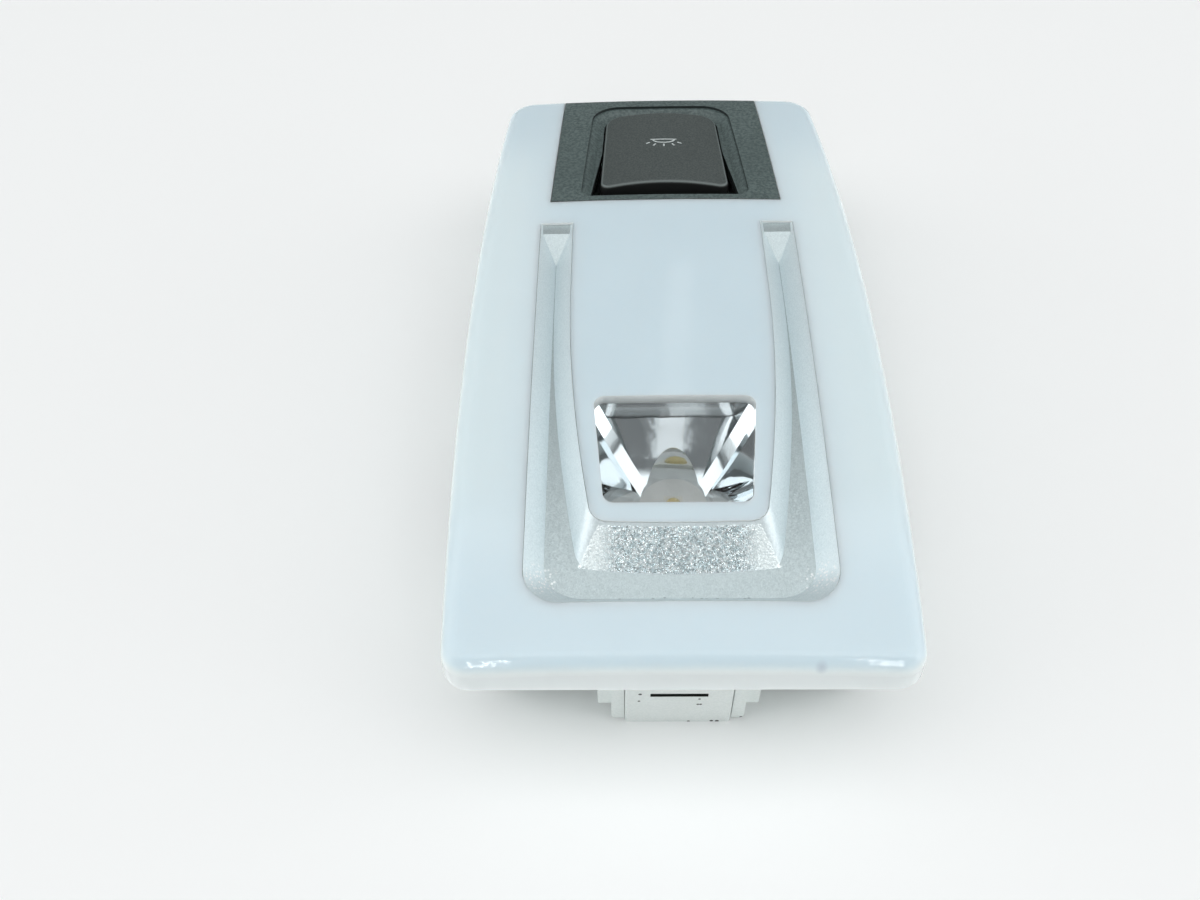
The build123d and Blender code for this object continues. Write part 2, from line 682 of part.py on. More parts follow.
def well_foot():
    """Foot of the well's slopes, which open towards the button's near end."""
    near_v = -BUTTON_LENGTH / 2 - WELL_NEAR_MARGIN
    far_v = BUTTON_LENGTH / 2 + BUTTON_FOOT_GAP
    near_half = button_half(near_v) + BUTTON_OPEN_GAP
    face = tapered_face(near_v, far_v, near_half, button_half(far_v) + BUTTON_FOOT_GAP)
    face = fillet(face.vertices().group_by(Axis.Y)[0], BUTTON_NEAR_CORNER)
    return fillet(face.vertices().group_by(Axis.Y)[-1], BUTTON_FAR_CORNER + BUTTON_FOOT_GAP)


def button_opening():
    """Hole in the bezel: close round the button's far part, wedge-shaped gaps beside its near part."""
    near_v = -BUTTON_LENGTH / 2 - WELL_NEAR_MARGIN
    split_v = BUTTON_OPEN_LENGTH - BUTTON_LENGTH / 2
    wedge = tapered_face(near_v, split_v, button_half(near_v) + BUTTON_OPEN_GAP, button_half(split_v))
    wedge = fillet(wedge.vertices().group_by(Axis.Y)[0], BUTTON_NEAR_CORNER / 2)
    return button_face(BUTTON_CLOSE_GAP) + wedge


def hinge_ears():
    """Two ears under the bezel that carry the button's trunnions."""
    radius = TRUNNION_RADIUS + EAR_WALL
    inner = button_half(hinge_v) + BUTTON_CLOSE_GAP
    outer = inner + TRUNNION_LENGTH
    top = hinge.Z + TRUNNION_DROP - WELL_DEPTH
    plate = block(inner, outer, hinge.Y - radius, hinge.Y + radius, hinge.Z, top)
    return plate + mirror(plate, about=Plane.YZ) + trunnion(radius, inner, outer)


def switch_bezel():
    """Dark frame: crowned top and far wall flush with the lens, a well, skirts, a ledge and hinge ears."""
    form = lens_form(0) & prism(bezel_face(-PANEL_GAP), FLANGE_LIFT, TALL)
    bezel = form - lens_form(LENS_WALL)
    skirt = prism(bezel_face(-PANEL_GAP) - bezel_face(-PANEL_GAP - BEZEL_SKIRT), 0, TALL)
    skirt_depth = LENS_END_HEIGHT - cross_drop(BEZEL_FAR_WIDTH / 2) - flange_top - FLANGE_GAP
    bezel += (form & skirt) - below_crown(skirt_depth)
    ledge_top = LENS_WALL + PANEL_GAP
    ledge = below_crown(ledge_top) - below_crown(ledge_top + BEZEL_LEDGE_THICKNESS)
    ledge_face = bezel_face(BEZEL_LEDGE, far_end - LENS_WALL - LENS_EDGE_RADIUS)
    bezel += ledge & prism(ledge_face - bezel_face(-PANEL_GAP - BEZEL_SKIRT / 2), 0, TALL)
    liner_depth = WELL_DEPTH + WELL_FLOOR
    liner = extrude(bezel_plane * Pos(0, 0, -liner_depth) * well_rim(), amount=TALL / 2)
    bezel += liner & form
    bezel += hinge_ears()
    bezel -= liner - below_crown(WELL_STEP)
    bezel -= loft([
        bezel_plane * Pos(0, 0, -WELL_DEPTH) * well_foot(),
        bezel_plane * Pos(0, 0, -WELL_STEP) * well_rim(),
    ])
    bezel -= extrude(bezel_plane * button_opening(), amount=TALL / 2, both=True)
    side = button_half(hinge_v)
    return bezel - trunnion(TRUNNION_RADIUS + TRUNNION_CLEARANCE, side, side + TALL / 4)


def switch_body():
    """Base of the push switch, with a bore for the plunger."""
    half = SWITCH_SIZE / 2 - SWITCH_COVER
    body = block(-half, half, plunger_y - half, plunger_y + half, board_top, switch_top)
    depth = PLUNGER_SINK + PLUNGER_TRAVEL
    bore = Cylinder(PLUNGER_RADIUS + PLUNGER_CLEARANCE, depth, align=HANGING)
    return body - Pos(0, plunger_y, switch_top) * bore


def switch_cover():
    """Folded steel cover over the push switch."""
    half = SWITCH_SIZE / 2
    inner = half - SWITCH_COVER
    low = switch_top - SWITCH_COVER_SKIRT
    cover = block(-half, half, plunger_y - half, plunger_y + half, low, switch_top + SWITCH_COVER)
    cover = fillet(cover.edges().filter_by(Axis.Z), SWITCH_COVER)
    cover -= block(-inner, inner, plunger_y - inner, plunger_y + inner, low - CUT, switch_top)
    return cover - Pos(0, plunger_y, switch_top) * Cylinder(PLUNGER_RADIUS + PLUNGER_CLEARANCE, TALL / 4)


def switch_plunger():
    """Plunger with a rounded top, under the button's post."""
    low = switch_top - PLUNGER_SINK
    pin = Pos(0, plunger_y, low) * Cylinder(PLUNGER_RADIUS, plunger_top - low, align=STANDING)
    return fillet(pin.edges().group_by(Axis.Z)[-1], PLUNGER_RADIUS / 2)


def pin_places():
    """Centres of the connector pins, in plan."""
    places = []
    for row in (-1, 1):
        for column in range(PIN_COLUMNS):
            x = (column - (PIN_COLUMNS - 1) / 2) * PIN_PITCH
            places.append((x, header_y + row * PIN_ROW_PITCH / 2))
    return places


def screw_places():
    """Centres of the board screws, in plan."""
    places = []
    for fraction in SCREW_PLACES:
        y = far_end * fraction
        x = half_width(y) - TRAY_SIDE_INSET - TRAY_WALL - SCREW_SIDE_MARGIN
        places += [(x, y), (-x, y)]
    return places


def circuit_board():
    """Board with a tab over the connector and holes for screws and pins."""
    face = tray_face(TRAY_WALL + BOARD_GAP)
    tab_half = HEADER_WIDTH / 2 - BOARD_GAP
    tab_front = collar_front_y + TRAY_WALL + BOARD_GAP
    face += tapered_face(tab_front, tray_near_y + CHANNEL_CORNER, tab_half, tab_half)
    for x, y in screw_places():
        face -= Pos(x, y) * Circle(SCREW_RADIUS + BOARD_HOLE_CLEARANCE)
    for x, y in pin_places():
        face -= Pos(x, y) * Circle(PIN_SIZE / 2 + BOARD_HOLE_CLEARANCE)
    return prism(face, board_bottom, board_top)


def spot_led():
    """Square base of the spot LED."""
    half = SPOT_LED_SIZE / 2
    return block(-half, half, window_y - half, window_y + half, board_top, board_top + SPOT_LED_HEIGHT)


def spot_led_dome():
    """Phosphor dome of the spot LED, a cap of a sphere."""
    radius = (SPOT_DOME_RADIUS**2 + SPOT_DOME_HEIGHT**2) / (2 * SPOT_DOME_HEIGHT)
    base_z = board_top + SPOT_LED_HEIGHT
    ball = Pos(0, window_y, base_z + SPOT_DOME_HEIGHT - radius) * Sphere(radius)
    reach = 2 * radius
    return ball & block(-reach, reach, window_y - reach, window_y + reach, base_z, base_z + reach)


def ambient_leds():
    """Small LEDs along both sides of the board."""
    half_x = LED_WIDTH / 2
    half_y = LED_LENGTH / 2
    leds = []
    for fraction in LED_PLACES:
        y = far_end * fraction
        x = half_width(y) - TRAY_SIDE_INSET - TRAY_WALL - LED_SIDE_MARGIN
        for side in (-1, 1):
            led = block(-half_x, half_x, -half_y, half_y, 0, LED_HEIGHT)
            led -= Pos(0, 0, LED_HEIGHT) * Cylinder(LED_WELL_RADIUS, 2 * LED_WELL_DEPTH)
            leds.append(Pos(side * x, y, board_top) * led)
    return Compound(children=leds)


def driver_chip():
    """LED driver."""
    half_x = CHIP_WIDTH / 2
    half_y = CHIP_LENGTH / 2
    chip = block(-half_x, half_x, -half_y, half_y, 0, CHIP_HEIGHT)
    chip = chamfer(chip.edges().group_by(Axis.Z)[-1], CHIP_HEIGHT / 4)
    return Pos(CHIP_X, CHIP_Y, board_top) * chip


def resistors():
    """Row of chip resistors."""
    chips = []
    for i in range(RESISTOR_COUNT):
        y = CHIP_Y + (i - (RESISTOR_COUNT - 1) / 2) * RESISTOR_PITCH
        half_x = RESISTOR_LENGTH / 2
        half_y = RESISTOR_WIDTH / 2
        chip = block(-half_x, half_x, -half_y, half_y, 0, RESISTOR_HEIGHT)
        chips.append(Pos(RESISTOR_X, y, board_top) * chip)
    return Compound(children=chips)


def capacitors():
    """Round capacitors, each with a crimp groove above its base."""
    cans = []
    for i in range(CAPACITOR_COUNT):
        y = CHIP_Y + (i - (CAPACITOR_COUNT - 1) / 2) * CAPACITOR_PITCH
        waist = CAPACITOR_RADIUS - CAPACITOR_GROOVE
        profile = Polyline(
            (0, 0),
            (CAPACITOR_RADIUS, 0),
            (CAPACITOR_RADIUS, CAPACITOR_BASE),
            (waist, CAPACITOR_BASE + CAPACITOR_GROOVE),
            (CAPACITOR_RADIUS, CAPACITOR_BASE + 2 * CAPACITOR_GROOVE),
            (CAPACITOR_RADIUS, CAPACITOR_HEIGHT),
            (0, CAPACITOR_HEIGHT),
            close=True,
        )
        can = revolve(Plane.XZ * make_face(profile), axis=Axis.Z)
        cans.append(Pos(CAPACITOR_X, y, board_top) * can)
    return Compound(children=cans)


def connector_header():
    """White socket block that opens downwards, with a latch slot in its front wall."""
    half = HEADER_WIDTH / 2
    body = block(-half, half, header_front_y, header_back_y, -REST_DEPTH, board_bottom)
    body = fillet(body.edges().filter_by(Axis.Z), HEADER_WALL / 3)
    inner = half - HEADER_WALL
    ceiling = board_bottom - HEADER_FLOOR
    front = header_front_y + HEADER_WALL
    back = header_back_y - HEADER_WALL
    body -= block(-inner, inner, front, back, -REST_DEPTH - CUT, ceiling)
    latch_top = ceiling - LATCH_DROP
    latch_half = LATCH_WIDTH / 2
    latch_low = latch_top - LATCH_HEIGHT
    body -= block(-latch_half, latch_half, header_front_y - CUT, front + CUT, latch_low, latch_top)
    for side in (-1, 1):
        x0 = side * KEY_SPREAD / 2 - KEY_WIDTH / 2
        body -= block(x0, x0 + KEY_WIDTH, back - CUT, back + KEY_DEPTH, -REST_DEPTH - CUT, ceiling)
    reach = PIN_SIZE / 2 + PIN_CLEARANCE
    for x, y in pin_places():
        body -= block(x - reach, x + reach, y - reach, y + reach, ceiling - CUT, board_bottom + CUT)
    return body


def connector_pins():
    """Square pins through the board and the header's floor, with tapered tips."""
    half = PIN_SIZE / 2
    tip = board_bottom - HEADER_FLOOR - PIN_REACH
    pins = []
    for x, y in pin_places():
        pin = block(x - half, x + half, y - half, y + half, tip, board_top + PIN_STUB)
        pins.append(chamfer(pin.edges().group_by(Axis.Z)[0], half / 2))
    return Compound(children=pins)


def clip_path():
    """Bent line of a spring clip, across the lamp's side."""
    x0 = CLIP_GAP + CLIP_SHEET / 2
    x1 = x0 + CLIP_SPAN
    low = -CLIP_BOTTOM - CLIP_BEND_RADIUS
    points = ((x0, -CLIP_TOP), (x0, low), (x1, low), (x1 + CLIP_BULGE, -CLIP_SHOULDER), (x1, -CLIP_TOP))
    return FilletPolyline(*points, radius=CLIP_BEND_RADIUS)


def spring_clip():
    """Spring clip folded from strip."""
    section = trace(clip_path(), CLIP_SHEET)
    return extrude(Plane.XZ * section, amount=CLIP_WIDTH / 2, both=True)


def retaining_clips():
    """Two spring clips on each long side."""
    clips = []
    for place in CLIP_PLACES:
        clips += at_side(place, TRAY_SIDE_INSET, spring_clip())
    return Compound(children=clips)


def clip_loop():
    """Loop on the housing wall that a spring clip is pushed into."""
    slot = CLIP_SHEET + 2 * CLIP_GAP
    half = CLIP_WIDTH / 2 + CLIP_GAP
    outer = half + CLIP_LOOP_WALL
    low = -CLIP_LOOP_DEPTH - CLIP_LOOP_HEIGHT / 2
    high = -CLIP_LOOP_DEPTH + CLIP_LOOP_HEIGHT / 2
    loop = block(-TRAY_WALL / 2, slot + CLIP_LOOP_WALL, -outer, outer, low, high)
    return loop - block(0, slot, -half, half, low - CUT, high + CUT)


def rear_housing():
    """White tray with a flange, board bosses, clip loops, snap wedges, feet and the connector's collar."""
    tray = prism(tray_face(0), -TRAY_DEPTH, flange_top)
    tray = fillet(tray.faces().sort_by(Axis.Z)[0].edges(), TRAY_EDGE_RADIUS)
    flange = prism(lens_face(LENS_WALL + FLANGE_GAP), FLANGE_LIFT, flange_top)
    collar_back = header_back_y + HEADER_GAP + TRAY_WALL
    collar_low = COLLAR_LIFT - REST_DEPTH
    collar = block(-collar_half, collar_half, collar_front_y, collar_back, collar_low, FLANGE_LIFT)
    collar = fillet(collar.edges().filter_by(Axis.Y).group_by(Axis.Z)[0], COLLAR_CORNER)
    step_half = collar_half + STEP_WIDTH
    step_front = collar_front_y + STEP_SETBACK
    steps = block(-step_half, step_half, step_front, tray_near_y + TRAY_WALL, -STEP_DEPTH, FLANGE_LIFT)
    tray += flange + collar + steps

    foot_far = tray_far_y - FOOT_MARGIN
    foot_near = foot_far - FOOT_LENGTH
    for side in (-1, 1):
        x = side * FOOT_SPREAD / 2
        x0 = x - FOOT_WIDTH / 2
        foot = block(x0, x0 + FOOT_WIDTH, foot_near, foot_far, -REST_DEPTH, CUT - TRAY_DEPTH)
        tray += chamfer(foot.edges().group_by(Axis.Z)[0].filter_by(Axis.X), FOOT_WIDTH / 2)
        rib_x = side * RIB_SPREAD / 2 - RIB_WIDTH / 2
        rib_low = -TRAY_DEPTH - RIB_HEIGHT
        tray += block(rib_x, rib_x + RIB_WIDTH, collar_back, foot_near, rib_low, CUT - TRAY_DEPTH)

    tray -= prism(tray_face(TRAY_WALL), TRAY_FLOOR - TRAY_DEPTH, TALL)
    for x, y in screw_places():
        tray += Pos(x, y, -TRAY_DEPTH) * Cylinder(BOSS_RADIUS, board_bottom + TRAY_DEPTH, align=STANDING)
        pilot = Cylinder(SCREW_RADIUS + SCREW_CLEARANCE, SCREW_LENGTH + CUT, align=HANGING)
        tray -= Pos(x, y, board_top) * pilot
    for place in SNAP_PLACES:
        for notch in at_side(place, TRAY_SIDE_INSET, snap_notch()):
            tray -= notch
        for wedge in at_side(place, TRAY_SIDE_INSET, snap_wedge()):
            tray += wedge
    for place in CLIP_PLACES:
        for loop in at_side(place, TRAY_SIDE_INSET, clip_loop()):
            tray += loop

    pocket = HEADER_WIDTH / 2 + HEADER_GAP
    pocket_back = header_back_y + HEADER_GAP
    pocket_low = -REST_DEPTH - CUT
    pocket_top = board_top + BOARD_HEADROOM
    tray -= block(-pocket, pocket, collar_front_y + TRAY_WALL, pocket_back, pocket_low, pocket_top)
    tray -= block(-pocket, pocket, collar_front_y - CUT, pocket_back, pocket_low, board_bottom + HEADER_GAP)
    return tray


def board_screws():
    """Pan-head screws with cross recesses."""
    screws = []
    for x, y in screw_places():
        shank = Cylinder(SCREW_RADIUS, SCREW_LENGTH, align=HANGING)
        head = Cylinder(SCREW_HEAD_RADIUS, SCREW_HEAD_HEIGHT, align=STANDING)
        head = fillet(head.edges().group_by(Axis.Z)[-1], SCREW_HEAD_HEIGHT / 2)
        for turn in (0, 90):
            cross = Box(SCREW_RECESS_LENGTH, SCREW_RECESS_WIDTH, 2 * SCREW_RECESS_DEPTH)
            head -= Pos(0, 0, SCREW_HEAD_HEIGHT) * Rot(0, 0, turn) * cross
        screws.append(Pos(x, y, board_top) * (shank + head))
    return Compound(children=screws)


NODES = {
    "lens_cover": lens_cover,
    "channel_trim": channel_trim,
    "spot_window": spot_window,
    "spot_reflector": spot_reflector,
    "switch_bezel": switch_bezel,
    "switch_button": switch_button,
    "switch_body": switch_body,
    "switch_cover": switch_cover,
    "switch_plunger": switch_plunger,
    "circuit_board": circuit_board,
    "spot_led": spot_led,
    "spot_led_dome": spot_led_dome,
    "ambient_leds": ambient_leds,
    "driver_chip": driver_chip,
    "resistors": resistors,
    "capacitors": capacitors,
    "connector_header": connector_header,
    "connector_pins": connector_pins,
    "rear_housing": rear_housing,
    "retaining_clips": retaining_clips,
    "board_screws": board_screws,
}

os.makedirs("parts", exist_ok=True)
for name, make in NODES.items():
    export_step(make(), f"parts/{name}.step")
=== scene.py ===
import logging
import math
from dataclasses import dataclass
from enum import Enum
from functools import reduce
from typing import Mapping, Protocol, Sequence

import bmesh
import bpy
from mathutils import Matrix, Quaternion, Vector, noise


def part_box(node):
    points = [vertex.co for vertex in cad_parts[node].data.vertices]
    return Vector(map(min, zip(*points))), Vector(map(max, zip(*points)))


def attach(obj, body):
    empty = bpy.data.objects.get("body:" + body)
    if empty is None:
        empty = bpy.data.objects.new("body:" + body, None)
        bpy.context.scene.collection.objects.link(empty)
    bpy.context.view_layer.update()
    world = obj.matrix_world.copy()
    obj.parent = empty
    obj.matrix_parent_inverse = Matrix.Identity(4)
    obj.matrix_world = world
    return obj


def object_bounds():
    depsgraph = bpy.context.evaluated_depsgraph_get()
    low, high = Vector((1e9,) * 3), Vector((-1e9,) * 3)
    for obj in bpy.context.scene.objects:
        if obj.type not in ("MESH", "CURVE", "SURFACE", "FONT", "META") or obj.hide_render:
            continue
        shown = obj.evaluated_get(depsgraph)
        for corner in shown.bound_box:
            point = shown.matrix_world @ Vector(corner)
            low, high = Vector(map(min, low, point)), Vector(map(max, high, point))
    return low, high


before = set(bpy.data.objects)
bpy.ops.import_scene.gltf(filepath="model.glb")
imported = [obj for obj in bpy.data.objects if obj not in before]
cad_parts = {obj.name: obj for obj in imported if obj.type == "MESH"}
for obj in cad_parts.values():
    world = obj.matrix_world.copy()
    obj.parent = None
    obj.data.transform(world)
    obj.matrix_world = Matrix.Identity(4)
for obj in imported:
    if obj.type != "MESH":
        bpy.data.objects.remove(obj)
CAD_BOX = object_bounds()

log = logging.getLogger("roof_lamp")

Colour = tuple[float, float, float]
Plan = tuple[float, float]
Point = tuple[float, float, float]
Span = tuple[float, float]
Socket = bpy.types.NodeSocket

MM = 0.001
DOWN = Vector((0, 0, -1))
# Soft noise has nearly all its values in the first span and most of them in the second.
NOISE_SPAN: Span = (0.3, 0.7)
NOISE_CORE: Span = (0.35, 0.65)
# Places of a mixing node's two colours and of the colour that it gives.
MIX_A, MIX_B, MIX_RESULT = 6, 7, 2


class Body(Enum):
    """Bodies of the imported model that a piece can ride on."""

    LAMP = "lamp"
    BUTTON = "button"


class Grain(Enum):
    """How coarse a surface is, as pattern cells per metre."""

    MIST = 60.0
    CLOUD = 220.0
    DOT = 1000.0
    PEBBLE = 1500.0
    FINE = 2600.0
    FLAKE = 3200.0
    DUST = 5200.0


def linear(red: float, green: float, blue: float) -> Colour:
    """Turn display values into the linear colour that a shader takes, by the usual display curve.

    Args:
        red: Red from 0 to 255.
        green: Green from 0 to 255.
        blue: Blue from 0 to 255.

    Returns:
        The linear colour, each part from 0 to 1.
    """
    parts = [value / 255 for value in (red, green, blue)]
    made = [p / 12.92 if p <= 0.04045 else ((p + 0.055) / 1.055) ** 2.4 for p in parts]
    return made[0], made[1], made[2]


@dataclass(frozen=True)
class Speck:
    """A small mark on a surface.

    Attributes:
        place: Middle of the mark, in metres.
        radius: Reach of the mark, in metres.
    """

    place: Point
    radius: float


class NodeTree:
    """Node tree of a finish or of the surroundings, with short calls for the nodes that both use."""

    def __init__(self, owner: bpy.types.Material | bpy.types.World) -> None:
        """Start with an empty tree.

        Args:
            owner: What the tree belongs to.
        """
        owner.use_nodes = True
        self.nodes = owner.node_tree.nodes
        self.links = owner.node_tree.links
        self.nodes.clear()

    def join(self, source: Socket | float | Sequence[float], socket: Socket) -> None:
        """Link a socket to another, or set it to a constant.

        Args:
            source: Socket to link from, or a constant value.
            socket: Socket that takes it.
        """
        if isinstance(source, Socket):
            self.links.new(source, socket)
        elif isinstance(source, (int, float)):
            socket.default_value = source
        else:
            values = list(source)
            if len(values) == 3 and socket.type == "RGBA":
                values.append(1.0)
            socket.default_value = values

    def part(self, vector: Socket, name: str) -> Socket:
        """One part of a vector.

        Args:
            vector: The vector.
            name: Name of the part, "X", "Y" or "Z".

        Returns:
            The part.
        """
        node = self.nodes.new("ShaderNodeSeparateXYZ")
        self.links.new(vector, node.inputs["Vector"])
        return node.outputs[name]

    def math(self, operation: str, a: Socket | float, b: Socket | float = 0.0) -> Socket:
        """One sum on one or two values.

        Args:
            operation: Name of the sum.
            a: First value.
            b: Second value, if the sum takes one.

        Returns:
            The result.
        """
        node = self.nodes.new("ShaderNodeMath")
        node.operation = operation
        self.join(a, node.inputs[0])
        self.join(b, node.inputs[1])
        return node.outputs["Value"]

    def away(self, value: Socket, middle: float) -> Socket:
        """How far a value is from a middle, either way."""
        return self.math("ABSOLUTE", self.math("SUBTRACT", value, middle))

    def span(self, source: Socket, low: float, high: float, start: float = 0.0,
             end: float = 1.0) -> Socket:
        """Smooth step of a value into another range.

        Args:
            source: Value to map.
            low: Value that gives start.
            high: Value that gives end.
            start: Result at low.
            end: Result at high.

        Returns:
            The mapped value.
        """
        node = self.nodes.new("ShaderNodeMapRange")
        node.interpolation_type = "SMOOTHSTEP"
        limits = {"From Min": low, "From Max": high, "To Min": start, "To Max": end}
        for name, value in limits.items():
            node.inputs[name].default_value = value
        self.links.new(source, node.inputs["Value"])
        return node.outputs["Result"]


class Tree(NodeTree):
    """Shader tree of one finish."""

    def __init__(self, name: str) -> None:
        """Start an empty material.

        Args:
            name: Name of the material.
        """
        self.material = bpy.data.materials.new(name)
        super().__init__(self.material)
        self.output = self.nodes.new("ShaderNodeOutputMaterial")
        self.place = self.nodes.new("ShaderNodeTexCoord").outputs["Object"]

    def shader(self, **values: Socket | float | Sequence[float]) -> None:
        """Make the finish's main shader and join it to the output.

        Args:
            **values: Socket names with underscores for spaces, and what each one takes.
        """
        node = self.nodes.new("ShaderNodeBsdfPrincipled")
        for name, value in values.items():
            self.join(value, node.inputs[name.replace("_", " ")])
        self.links.new(node.outputs["BSDF"], self.output.inputs["Surface"])

    def stretched(self, scale: Point) -> Socket:
        """Object coordinates stretched along the axes, for drawn or brushed grain.

        Args:
            scale: Factor for each axis.

        Returns:
            The stretched coordinates.
        """
        node = self.nodes.new("ShaderNodeMapping")
        node.inputs["Scale"].default_value = scale
        self.links.new(self.place, node.inputs["Vector"])
        return node.outputs["Vector"]

    def clouds(self, grain: Grain, detail: float, rough: float = 0.5,
               place: Socket | None = None) -> Socket:
        """Soft noise.

        Args:
            grain: How coarse it is.
            detail: How many finer layers it has.
            rough: How strong the finer layers are.
            place: Coordinates, or the object's own if None.

        Returns:
            Noise value, about 0.3 to 0.7.
        """
        node = self.nodes.new("ShaderNodeTexNoise")
        node.inputs["Scale"].default_value = grain.value
        node.inputs["Detail"].default_value = detail
        node.inputs["Roughness"].default_value = rough
        self.links.new(place or self.place, node.inputs["Vector"])
        return node.outputs["Fac"]

    def cells(self, grain: Grain, output: str = "Distance") -> Socket:
        """Cell pattern.

        Args:
            grain: How coarse it is.
            output: Which output of the pattern is given.

        Returns:
            The chosen output.
        """
        node = self.nodes.new("ShaderNodeTexVoronoi")
        node.inputs["Scale"].default_value = grain.value
        self.links.new(self.place, node.inputs["Vector"])
        return node.outputs[output]

    def vector(self, operation: str, *sources: Socket | Point, output: str = "Vector") -> Socket:
        """One sum on vectors.

        Args:
            operation: Name of the sum.
            *sources: The vectors that it takes.
            output: Which output of the sum is given.

        Returns:
            The chosen output.
        """
        node = self.nodes.new("ShaderNodeVectorMath")
        node.operation = operation
        for source, socket in zip(sources, node.inputs):
            self.join(source, socket)
        return node.outputs[output]

    def blend(self, share: Socket, a: Socket | Colour, b: Socket | Colour) -> Socket:
        """Colour between two colours.

        Args:
            share: How much of b there is.
            a: Colour at 0.
            b: Colour at 1.

        Returns:
            The blended colour.
        """
        node = self.nodes.new("ShaderNodeMix")
        node.data_type = "RGBA"
        self.links.new(share, node.inputs["Factor"])
        self.join(a, node.inputs[MIX_A])
        self.join(b, node.inputs[MIX_B])
        return node.outputs[MIX_RESULT]

    def relief(self, height: Socket, strength: float, depth: float) -> Socket:
        """Normal of a surface with fine relief.

        Args:
            height: Relief pattern.
            strength: Share of the relief that shows.
            depth: Depth of the relief, in metres.

        Returns:
            The normal.
        """
        node = self.nodes.new("ShaderNodeBump")
        node.inputs["Strength"].default_value = strength
        node.inputs["Distance"].default_value = depth
        self.links.new(height, node.inputs["Height"])
        return node.outputs["Normal"]

    def normal(self) -> Socket:
        """Normal of the bare surface."""
        return self.nodes.new("ShaderNodeNewGeometry").outputs["Normal"]

    def flaked(self, grain: Grain, tilt: float) -> Socket:
        """Normal of a surface made of small flakes that each lean their own way.

        Args:
            grain: How coarse the flakes are.
            tilt: How far the flakes lean.

        Returns:
            The normal.
        """
        middle = (0.5, 0.5, 0.5)
        way = self.vector("SUBTRACT", self.cells(grain, "Color"), middle)
        leaning = self.vector("MULTIPLY_ADD", way, (tilt, tilt, tilt), self.normal())
        return self.vector("NORMALIZE", leaning)

    def axis(self, name: str) -> Socket:
        """One object coordinate, "X", "Y" or "Z"."""
        return self.part(self.place, name)

    def uprightness(self) -> Socket:
        """How far a surface faces up, from -1 to 1."""
        return self.part(self.normal(), "Z")

    def inside(self, low: Point, high: Point) -> Socket:
        """Mask of a box.

        Args:
            low: Its lowest corner, in metres.
            high: Its highest corner, in metres.

        Returns:
            1 inside the box and 0 outside it.
        """
        tests: list[Socket] = []
        for name, start, end in zip("XYZ", low, high):
            place = self.axis(name)
            tests += [self.math("GREATER_THAN", place, start), self.math("LESS_THAN", place, end)]
        return reduce(lambda a, b: self.math("MULTIPLY", a, b), tests)

    def specks(self, marks: Sequence[Speck], softness: float) -> Socket:
        """Mask of small marks.

        Args:
            marks: The marks.
            softness: Share of each mark's radius over which it fades.

        Returns:
            1 inside the marks and 0 outside them.
        """
        masks: list[Socket] = []
        for mark in marks:
            distance = self.vector("DISTANCE", self.place, mark.place, output="Value")
            masks.append(self.span(distance, mark.radius * (1 - softness), mark.radius, 1.0, 0.0))
        return reduce(lambda a, b: self.math("MAXIMUM", a, b), masks)


class Finish(Protocol):
    """Anything that can be built as a material."""

    def material(self) -> bpy.types.Material:
        """Build the finish as a material."""


@dataclass(frozen=True)
class MilkyLens:
    """Milky, slightly bluish plastic with a polished skin.

    Attributes:
        marks: Where it is stained.
        body: Colour of its broad top.
        mist: Colour of the faint clouds in its top, as a share of the body's.
        side: Painted light on its long sides, a lighter colour standing in for light that leaves its thin
            shell.
        side_span: How far across from the middle the sides start and are reached, in metres.
        side_reach: How far along from the middle they begin and end to fade, in metres.
        rim: Colour of its steep edges, painted lighter as light that passes through the milky rim.
        steep: How far up a face looks where it is all rim and where it is none.
        stain: Colour of the marks on it.
        stain_fade: Share of a mark's radius over which it fades.
        roughness: Lowest and highest roughness.
        rough_span: Values of the faint clouds that give them.
        bending: How strongly it bends light.
        milk: Share of the light that goes into it.
        depth: How far that light goes, in metres.
        peel: Share of its skin's slight waves that shows.
        peel_depth: Depth of those waves, in metres.
    """

    marks: tuple[Speck, ...]
    body: Colour = linear(210, 229, 239)
    mist: float = 0.96
    side: Colour = linear(221, 239, 247)
    side_span: Span = (20 * MM, 34 * MM)
    side_reach: Span = (40 * MM, 66 * MM)
    rim: Colour = linear(236, 251, 254)
    steep: Span = (0.2, 0.8)
    stain: Colour = linear(190, 203, 214)
    stain_fade: float = 0.6
    roughness: Span = (0.06, 0.09)
    rough_span: Span = (0.2, 0.8)
    bending: float = 1.5
    milk: float = 0.8
    depth: float = 3.8 * MM
    peel: float = 0.03
    peel_depth: float = 0.05 * MM

    def material(self) -> bpy.types.Material:
        """Build the finish as a material.

        Returns:
            The material.
        """
        tree = Tree("milky_lens")
        clouds = tree.clouds(Grain.MIST, detail=1.0)
        top = tree.blend(clouds, self.body, tuple(part * self.mist for part in self.body))
        across = tree.span(tree.away(tree.axis("X"), 0.0), *self.side_span)
        along = tree.span(tree.away(tree.axis("Y"), 0.0), *self.side_reach, 1.0, 0.0)
        # Painted light: the long sides are lighter, as if lit through the thin shell.
        top = tree.blend(tree.math("MULTIPLY", across, along), top, self.side)
        # Painted light: the steep edges are lighter, as if lit through the milky rim.
        colour = tree.blend(tree.span(tree.uprightness(), *self.steep, 1.0, 0.0), top, self.rim)
        colour = tree.blend(tree.specks(self.marks, self.stain_fade), colour, self.stain)
        waves = tree.clouds(Grain.PEBBLE, detail=1.0)
        tree.shader(
            Base_Color=colour,
            Roughness=tree.span(clouds, *self.rough_span, *self.roughness),
            IOR=self.bending,
            Subsurface_Weight=self.milk,
            Subsurface_Radius=(1.0, 1.0, 1.0),
            Subsurface_Scale=self.depth,
            Normal=tree.relief(waves, self.peel, self.peel_depth),
        )
        return tree.material


